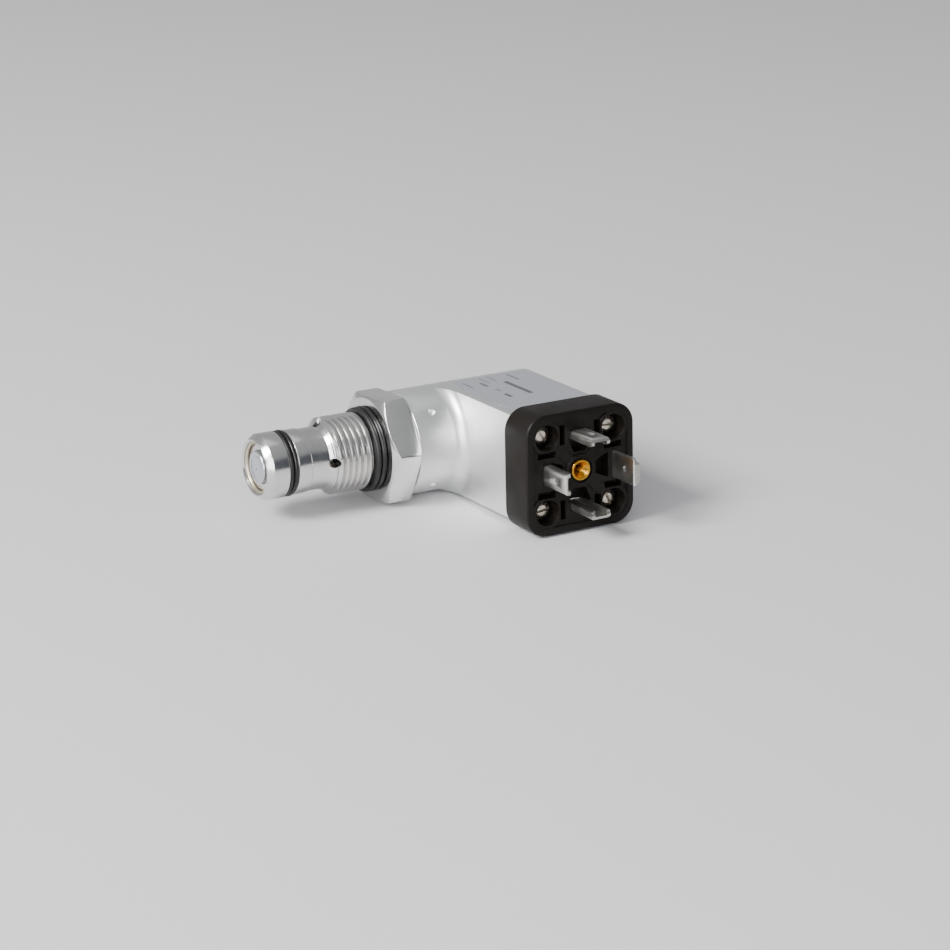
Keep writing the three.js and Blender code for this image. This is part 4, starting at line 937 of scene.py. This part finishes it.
def build_label():
    lowest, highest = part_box("label")
    size = highest - lowest
    centre = (lowest + highest) / 2
    label = start(
        "label_plate", bpy.ops.mesh.primitive_plane_add, size=1,
        location=(centre.x, centre.y, lowest.z), stretch=(size.x, size.y, 1))
    bpy.ops.mesh.bevel(offset=0.8 * MM, segments=8, affect="VERTICES")
    bpy.ops.mesh.select_all(action="SELECT")
    bpy.ops.mesh.extrude_region_move(TRANSFORM_OT_translate={"value": (0, 0, size.z)})
    bpy.ops.mesh.inset(thickness=0.06 * MM)
    bpy.ops.mesh.select_all(action="SELECT")
    bpy.ops.mesh.normals_make_consistent(inside=False)
    close()
    finish(label, "housing", MATERIALS["label_foil"], "label_foil", "label")


# ---------------------------------------------------------------- the connector

def around(piece, quarters):
    """Turns a piece made above the connector's middle by quarters, clockwise as it is faced."""
    return turn(piece, quarters * QUARTER, "Y", CONNECTOR) if quarters else piece


def corners():
    """The four screw places, from top left clockwise as the connector is faced."""
    half = head().screw_pitch / 2
    return [Vector((CONNECTOR.x + sx * half, 0, sz * half))
            for sx, sz in ((-1, 1), (1, 1), (1, -1), (-1, -1))]


def build_base():
    h = head()
    back = low("flange_gasket").y - 0.05 * MM
    field_y = RIM_Y + h.field_setback
    margin = (h.base - h.field) / 2
    base = slab("connector_base_moulding", CONNECTOR, h.base, h.base_corner, back, RIM_Y, 0.45 * MM)
    field = slab("field", CONNECTOR, h.field, h.base_corner - margin, RIM_Y - MM, field_y, 0.12 * MM)
    combine(base, "DIFFERENCE", field)
    rear = rod("rear_boss", (back - 0.4 * MM, back + 2.6 * MM), h.cavity_radius - 0.3 * MM, "Y",
               CONNECTOR, 0.3 * MM)
    raised = [rod("boss", (RIM_Y, field_y + 0.4 * MM), 3.7 * MM, "Y", CONNECTOR, 0.12 * MM, 64)]
    raised += [rod("rim", (RIM_Y + 0.1 * MM, field_y + 0.45 * MM), 3.9 * MM, "Y", place_, 0.12 * MM, 56)
               for place_ in corners()]
    for side in (-1, 1):
        arm = block("arm", (CONNECTOR.x - 12.4 * MM, RIM_Y + 0.16 * MM, -1.25 * MM),
                    (CONNECTOR.x + 12.4 * MM, field_y + 0.5 * MM, 1.25 * MM), 0.12 * MM)
        raised.append(turn(arm, side * QUARTER / 2, "Y", CONNECTOR))
    trim = slab("trim", CONNECTOR, h.base - 1.6 * MM, h.base_corner - 0.8 * MM, back, RIM_Y - MM)
    lump = combine(raised[0], "UNION", *raised[1:])
    combine(lump, "INTERSECT", trim)
    combine(base, "UNION", rear, lump)

    seat_y = high("flange_screw_1").y
    head_back = RIM_Y + 4.2 * MM
    cuts = []
    for place_ in corners():
        cuts.append(turned("pocket", [
            (RIM_Y - MM, 0), (RIM_Y - MM, 3.3 * MM), (RIM_Y + 0.08 * MM, 3.0 * MM, 0.1 * MM),
            (RIM_Y + 0.3 * MM, 2.9 * MM), (head_back + 0.05 * MM, 2.85 * MM, 0.15 * MM),
            (head_back + 0.05 * MM, 1.35 * MM), (seat_y, 1.35 * MM), (seat_y, 0),
        ], 56, closed=False, axis="Y", centre=place_))
    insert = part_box("centre_insert")
    cuts.append(turned("insert_hole", [
        (RIM_Y - MM, 0), (RIM_Y - MM, 3.1 * MM), (field_y, 3.0 * MM, 0.1 * MM),
        (field_y, 2.45 * MM), (insert[1].y + 0.05 * MM, 2.45 * MM), (insert[1].y + 0.05 * MM, 0),
    ], 56, closed=False, axis="Y", centre=CONNECTOR))
    outer = (h.contact_pitch + h.contact_sheet) / 2
    floor = back - 3.0 * MM
    for i in range(4):
        well = start(
            "well", bpy.ops.mesh.primitive_plane_add, size=1,
            location=(CONNECTOR.x, RIM_Y - MM, (4.2 * MM + outer - h.contact_leg) / 2),
            rotation=(QUARTER, 0, 0), stretch=(3 * MM, 1, outer - h.contact_leg - 4.2 * MM))
        middle_z = (4.2 * MM + outer - h.contact_leg) / 2
        pick(well, "EDGE", lambda a, b: a.z > middle_z and b.z > middle_z)
        bpy.ops.transform.resize(value=(2, 1, 1), center_override=(CONNECTOR.x, 0, 0))
        bpy.ops.mesh.select_all(action="SELECT")
        bpy.ops.mesh.bevel(offset=0.25 * MM, segments=3, affect="VERTICES")
        bpy.ops.mesh.select_all(action="SELECT")
        bpy.ops.mesh.extrude_region_move(
            TRANSFORM_OT_translate={"value": (0, h.field_setback + 4.0 * MM, 0)})
        bpy.ops.mesh.select_all(action="SELECT")
        bpy.ops.mesh.normals_make_consistent(inside=False)
        close()
        cuts.append(around(well, i))
        for side in (-1, 1):
            x = CONNECTOR.x + side * 4.6 * MM
            slot_ = block("core_slot", (x - 0.75 * MM, RIM_Y - MM, 6.4 * MM),
                          (x + 0.75 * MM, field_y + 2.5 * MM, 10.9 * MM), 0.15 * MM)
            cuts.append(around(slot_, i))
    for i in range(4):
        earth = i == 1
        half = (h.earth_width if earth else h.contact_width) / 2 + 0.06 * MM
        depth = h.contact_sheet if earth else h.contact_leg
        slot_ = block("contact_slot", (CONNECTOR.x - half, RIM_Y - MM, outer - depth - 0.06 * MM),
                      (CONNECTOR.x + half, floor + 0.05 * MM, outer + 0.06 * MM))
        cuts.append(around(slot_, i))
        lug = block("lug_slot", (CONNECTOR.x - 1.06 * MM, floor - MM, outer - 3.06 * MM),
                    (CONNECTOR.x + 1.06 * MM, high("contact_1").y + MM, outer - 2.1 * MM))
        cuts.append(around(lug, i))
        foot = block("foot_slot", (CONNECTOR.x - 1.06 * MM, floor - 0.86 * MM, outer - 3.06 * MM),
                     (CONNECTOR.x + 1.06 * MM, floor + 0.05 * MM, outer))
        cuts.append(around(foot, i))
    combine(base, "DIFFERENCE", *cuts)
    finish(base, "housing", MATERIALS["black_nylon"], "black_nylon", "connector_base", angle=35)


def build_gasket():
    lowest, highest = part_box("flange_gasket")
    h = head()
    gasket = slab("flange_gasket_sheet", CONNECTOR, highest.x - lowest.x, h.base_corner,
                  highest.y, lowest.y, 0.05 * MM)
    hole = rod("hole", (lowest.y - MM, highest.y + MM), h.cavity_radius, "Y", CONNECTOR)
    screws = [rod("hole", (lowest.y - MM, highest.y + MM), 1.35 * MM, "Y", c, facets=32) for c in corners()]
    combine(gasket, "DIFFERENCE", hole, *screws)
    finish(gasket, "housing", MATERIALS["gasket_rubber"], "gasket_rubber", "flange_gasket")


def build_contacts():
    """Three folded signal contacts and the flat earth contact, each with its foot and lug."""
    h = head()
    outer = (h.contact_pitch + h.contact_sheet) / 2
    floor = low("flange_gasket").y - 0.05 * MM - 3.0 * MM
    foot_z = outer - 3.0 * MM
    lug_y = high("contact_1").y
    names = {0: "contact_1", 3: "contact_2", 2: "contact_3"}
    near = 0.01 * MM
    for i in range(4):
        earth = i == 1
        width = h.earth_width if earth else h.contact_width
        tip = RIM_Y - (h.earth_reach if earth else h.contact_reach)
        name = "earth_contact" if earth else names[i]
        inner = outer - h.contact_sheet
        blade = block(
            name + "_blade", (CONNECTOR.x - width / 2, tip, outer - (h.contact_sheet if earth else h.contact_leg)),
            (CONNECTOR.x + width / 2, floor, outer))
        alone(blade)
        bpy.ops.object.mode_set(mode="EDIT")
        if earth:
            pick(blade, "EDGE", lambda a, b: abs(a.y - tip) < near and abs(b.y - tip) < near and abs(a.z - b.z) > near)
            bpy.ops.mesh.bevel(offset=1.15 * MM, segments=1, affect="EDGES")
            pick(blade, "EDGE", lambda a, b: abs(a.z - b.z) < near and min(a.y, b.y) < floor - near)
            bpy.ops.mesh.bevel(offset=0.16 * MM, segments=3, affect="EDGES")
            close()
        else:
            pick(blade, "EDGE", lambda a, b: (
                abs(a.x - b.x) < near and abs(a.z - b.z) < near and a.z > inner and abs(a.y - b.y) > MM))
            bpy.ops.mesh.bevel(offset=0.9 * MM, segments=6, affect="EDGES")
            close()
            side = CONNECTOR.x
            half = width / 2 - h.contact_sheet
            hollow = block("hollow", (side - half, tip - MM, outer - h.contact_leg - MM),
                           (side + half, floor - h.contact_sheet, inner))
            alone(hollow)
            bpy.ops.object.mode_set(mode="EDIT")
            pick(hollow, "EDGE", lambda a, b: (
                abs(a.x - b.x) < near and abs(a.z - b.z) < near and a.z > inner - near))
            bpy.ops.mesh.bevel(offset=0.3 * MM, segments=4, affect="EDGES")
            close()
            combine(blade, "DIFFERENCE", hollow)
            # The free corners of both legs are cut off round at the tip.
            nose = block("nose", (side - width, tip - MM, outer - h.contact_leg - MM),
                         (side + width, tip + 0.9 * MM, outer - h.contact_leg + 0.9 * MM))
            round_ = rod("round", (-width, width), 0.9 * MM, "X",
                         (side, tip + 0.9 * MM, outer - h.contact_leg + 0.9 * MM), facets=48)
            combine(nose, "DIFFERENCE", round_)
            combine(blade, "DIFFERENCE", nose)
        hole_y = tip + (4.7 if earth else 3.7) * MM
        drill = turned("drill", [
            (inner - MM, 0), (inner - MM, 0.7 * MM), (outer - 0.12 * MM, 0.7 * MM),
            (outer + 0.05 * MM, 0.95 * MM), (outer + MM, 0.95 * MM), (outer + MM, 0),
        ], 40, closed=False, axis="Z", centre=(CONNECTOR.x, hole_y, 0))
        foot = block("foot", (CONNECTOR.x - MM, floor - 0.8 * MM, foot_z),
                     (CONNECTOR.x + MM, floor, outer - 0.1 * MM), 0.08 * MM)
        lug = block("lug", (CONNECTOR.x - MM, floor - 0.4 * MM, foot_z),
                    (CONNECTOR.x + MM, lug_y, foot_z + 0.8 * MM), 0.08 * MM)
        combine(blade, "DIFFERENCE", drill)
        combine(blade, "UNION", foot, lug)
        if not earth:
            apply(blade, "BEVEL", width=0.07 * MM, segments=2, limit_method="ANGLE",
                  angle_limit=math.radians(50), use_clamp_overlap=True)
        around(blade, i)
        finish(blade, "housing", MATERIALS["tinned_copper"], "tinned_copper", name, angle=40)


def build_screws():
    """Slotted pan head screws, each with its slot where the driver left it."""
    turns = (-50, -7, -65, 8)
    for i, (centre, degrees) in enumerate(zip(corners(), turns), 1):
        name = f"flange_screw_{i}"
        lowest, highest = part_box(name)
        top = lowest.y
        seat = top + 1.6 * MM
        screw = turned(name + "_body", [
            (top, 0), (top + 0.02 * MM, 1.2 * MM, 0.5 * MM), (top + 0.45 * MM, 2.15 * MM, 0.3 * MM),
            (seat, 2.2 * MM, 0.1 * MM), (seat, 1.25 * MM), (highest.y, 1.25 * MM, 0.25 * MM),
            (highest.y, 0),
        ], 64, closed=False, axis="Y", centre=centre)
        slot_ = block("slot", (centre.x - 3 * MM, top - MM, centre.z - 0.35 * MM),
                      (centre.x + 3 * MM, top + 0.75 * MM, centre.z + 0.35 * MM))
        turn(slot_, -math.radians(degrees), "Y", centre)
        combine(screw, "DIFFERENCE", slot_)
        finish(screw, "housing", MATERIALS["nickel_steel"], "nickel_steel", name, angle=40)


def build_insert():
    """Brass insert with a countersink and the start of its thread."""
    lowest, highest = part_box("centre_insert")
    top, outer, bore = lowest.y, 2.4 * MM, 1.3 * MM
    ridges = []
    pitch = 0.5 * MM
    for k in range(6):
        y = top + 0.75 * MM + k * pitch
        ridges += [(y, bore + 0.25 * MM), (y + pitch / 2, bore, 0.05 * MM)]
    insert = turned("centre_insert_bush", [
        (highest.y, 0), (highest.y, outer, 0.2 * MM), (top, outer, 0.18 * MM),
        (top, 2.0 * MM, 0.05 * MM), (top + 0.62 * MM, bore + 0.25 * MM), *ridges,
        (highest.y - 0.8 * MM, bore), (highest.y - 0.6 * MM, 0),
    ], 96, closed=False, axis="Y", centre=CONNECTOR)
    finish(insert, "housing", MATERIALS["brass"], "brass", "centre_insert")


# ---------------------------------------------------------------- inner nodes and stage

def dress_inner():
    """The pieces hidden inside keep their shape and get the material of their slot."""
    slots = {row["node"]: row["material_slot"] for row in frame["record"]["subparts"]}
    for name, node in frame["nodes"].items():
        if node.hide_render:
            continue
        node.data.materials.clear()
        node.data.materials.append(MATERIALS[slots[name]])


def softbox(name, place_, target, width, height, power, tint):
    light = bpy.data.lights.new(name, "AREA")
    light.shape = "RECTANGLE"
    light.size, light.size_y = width, height
    light.energy = power
    light.color = tint
    holder = bpy.data.objects.new(name, light)
    bpy.context.scene.collection.objects.link(holder)
    holder.location = place_
    holder.rotation_euler = (Vector(target) - Vector(place_)).to_track_quat("-Z", "Y").to_euler()


def sky():
    """Studio surroundings: pale walls behind, a dark room in front and a bright ceiling."""
    world = bpy.data.worlds.new("studio")
    bpy.context.scene.world = world
    world.use_nodes = True
    tree = world.node_tree
    where = add(tree, "ShaderNodeTexCoord")
    apart = add(tree, "ShaderNodeSeparateXYZ", {0: where.outputs["Generated"]})
    sides = []
    for stops in (ROOM_FRONT, ROOM_BACK):
        ramp = add(tree, "ShaderNodeValToRGB", {0: apart.outputs["Z"]})
        bands = ramp.color_ramp.elements
        bands[0].position, bands[0].color = stops[0][0], linear(stops[0][1], True)
        bands[1].position, bands[1].color = stops[-1][0], linear(stops[-1][1], True)
        for position, code in stops[1:-1]:
            bands.new(position).color = linear(code, True)
        sides.append(ramp.outputs["Color"])
    behind = add(tree, "ShaderNodeMapRange", {
        "Value": apart.outputs["Y"], "From Min": -0.25, "From Max": 0.35})
    room = add(tree, "ShaderNodeMix", {"Factor": behind.outputs["Result"]}, data_type="RGBA")
    tree.links.new(sides[0], room.inputs["A"])
    tree.links.new(sides[1], room.inputs["B"])
    background = tree.nodes["Background"]
    tree.links.new(room.outputs["Result"], background.inputs["Color"])
    background.inputs["Strength"].default_value = 0.98


def build_stage():
    stage = bpy.context.scene.stage_sizes
    floor = start("floor", bpy.ops.mesh.primitive_plane_add, size=stage.floor_side)
    close()
    floor.rotation_euler = (stage.floor_tilt, 0, 0)
    floor.location = (0, stage.rest_y, stage.rest_z)
    # Matt painted board: even and pale, with hardly a trace of its grain.
    floor.data.materials.append(worn(
        "painted_board", bpy.context.scene.finishes.floor, 0.0, (0.7, 0.8), (60, 60, 60), (1, 1, 1),
        0.004, 0.98))

    sky()
    target = (0.01, -0.015, 0)
    softbox("window", (-0.95, -1.08, 0.40), (0, 0, 0.05), 1.4, 0.85, 24, linear("fdfeff"))
    softbox("key", (-1.0, -0.14, 0.84), target, 0.5, 0.5, 34, linear("fffefc"))
    softbox("overhead", (-0.1, 0.25, 1.5), target, 1.5, 1.3, 3, linear("fdfdff"))

    camera = bpy.data.cameras.new("camera")
    camera.lens = stage.lens
    camera.sensor_width = 36
    camera.clip_start = 0.01
    camera.clip_end = 20
    holder = bpy.data.objects.new("camera", camera)
    bpy.context.scene.collection.objects.link(holder)
    ahead = Vector((math.sin(stage.yaw) * math.cos(stage.pitch),
                    math.cos(stage.yaw) * math.cos(stage.pitch), -math.sin(stage.pitch)))
    level = Vector((math.cos(stage.yaw), -math.sin(stage.yaw), 0))
    over = level.cross(ahead)
    right = level * math.cos(stage.roll) + over * math.sin(stage.roll)
    up = over * math.cos(stage.roll) - level * math.sin(stage.roll)
    axes = Matrix((right, up, -ahead)).transposed().to_4x4()
    axes.translation = Vector(stage.camera)
    holder.matrix_world = axes
    bpy.context.scene.camera = holder


# ---------------------------------------------------------------- operators and panel

class MakeMaterials(bpy.types.Operator):
    """Make the materials of every piece"""
    bl_idname = "cartridge.make_materials"
    bl_label = "Make materials"

    def execute(self, context):
        make_materials()
        return {"FINISHED"}


class BuildBody(bpy.types.Operator):
    """Build the turned cartridge body with its thread and hexagon"""
    bl_idname = "cartridge.build_body"
    bl_label = "Build cartridge body"

    def execute(self, context):
        build_cartridge()
        return {"FINISHED"}


class BuildSeals(bpy.types.Operator):
    """Build the seals of nose and seat"""
    bl_idname = "cartridge.build_seals"
    bl_label = "Build seals"

    def execute(self, context):
        build_seals()
        return {"FINISHED"}


class BuildNose(bpy.types.Operator):
    """Build the guide bush, the snap ring, the piston and its spring"""
    bl_idname = "cartridge.build_nose"
    bl_label = "Build nose pieces"

    def execute(self, context):
        build_nose()
        build_spring()
        return {"FINISHED"}


class BuildHousing(bpy.types.Operator):
    """Build the housing and its label"""
    bl_idname = "cartridge.build_housing"
    bl_label = "Build housing"

    def execute(self, context):
        build_housing()
        build_label()
        return {"FINISHED"}


class BuildConnector(bpy.types.Operator):
    """Build the connector base, its gasket and the centre insert"""
    bl_idname = "cartridge.build_connector"
    bl_label = "Build connector base"

    def execute(self, context):
        build_gasket()
        build_base()
        build_insert()
        return {"FINISHED"}


class BuildContacts(bpy.types.Operator):
    """Build the three signal contacts and the earth contact"""
    bl_idname = "cartridge.build_contacts"
    bl_label = "Build contacts"

    def execute(self, context):
        build_contacts()
        return {"FINISHED"}


class BuildScrews(bpy.types.Operator):
    """Build the four flange screws"""
    bl_idname = "cartridge.build_screws"
    bl_label = "Build flange screws"

    def execute(self, context):
        build_screws()
        return {"FINISHED"}


class DressInner(bpy.types.Operator):
    """Give the hidden pieces their materials"""
    bl_idname = "cartridge.dress_inner"
    bl_label = "Dress inner pieces"

    def execute(self, context):
        dress_inner()
        return {"FINISHED"}


class BuildStage(bpy.types.Operator):
    """Build the floor, the lights and the camera"""
    bl_idname = "cartridge.build_stage"
    bl_label = "Build stage"

    def execute(self, context):
        build_stage()
        return {"FINISHED"}


OPERATORS = (MakeMaterials, BuildBody, BuildSeals, BuildNose, BuildHousing, BuildConnector,
             BuildContacts, BuildScrews, DressInner, BuildStage)
GROUPS = {"cartridge_sizes": CartridgeSizes, "head_sizes": HeadSizes, "finishes": Finishes,
          "stage_sizes": StageSizes}


class CartridgePanel(bpy.types.Panel):
    """Lists the steps that build the cartridge"""
    bl_idname = "VIEW3D_PT_cartridge"
    bl_label = "Pressure cartridge"
    bl_space_type = "VIEW_3D"
    bl_region_type = "UI"
    bl_category = "Cartridge"

    def draw(self, context):
        for step in OPERATORS:
            self.layout.operator(step.bl_idname)
        for name in GROUPS:
            group = getattr(context.scene, name)
            for key in group.__annotations__:
                self.layout.prop(group, key)


def register():
    for group in GROUPS.values():
        bpy.utils.register_class(group)
    for name, group in GROUPS.items():
        setattr(bpy.types.Scene, name, bpy.props.PointerProperty(type=group))
    for step in OPERATORS:
        bpy.utils.register_class(step)
    bpy.utils.register_class(CartridgePanel)


def unregister():
    bpy.utils.unregister_class(CartridgePanel)
    for step in reversed(OPERATORS):
        bpy.utils.unregister_class(step)
    for name, group in GROUPS.items():
        delattr(bpy.types.Scene, name)
        bpy.utils.unregister_class(group)


def main():
    register()
    for step in OPERATORS:
        family, name = step.bl_idname.split(".")
        getattr(getattr(bpy.ops, family), name)()


if __name__ == "__main__":
    main()
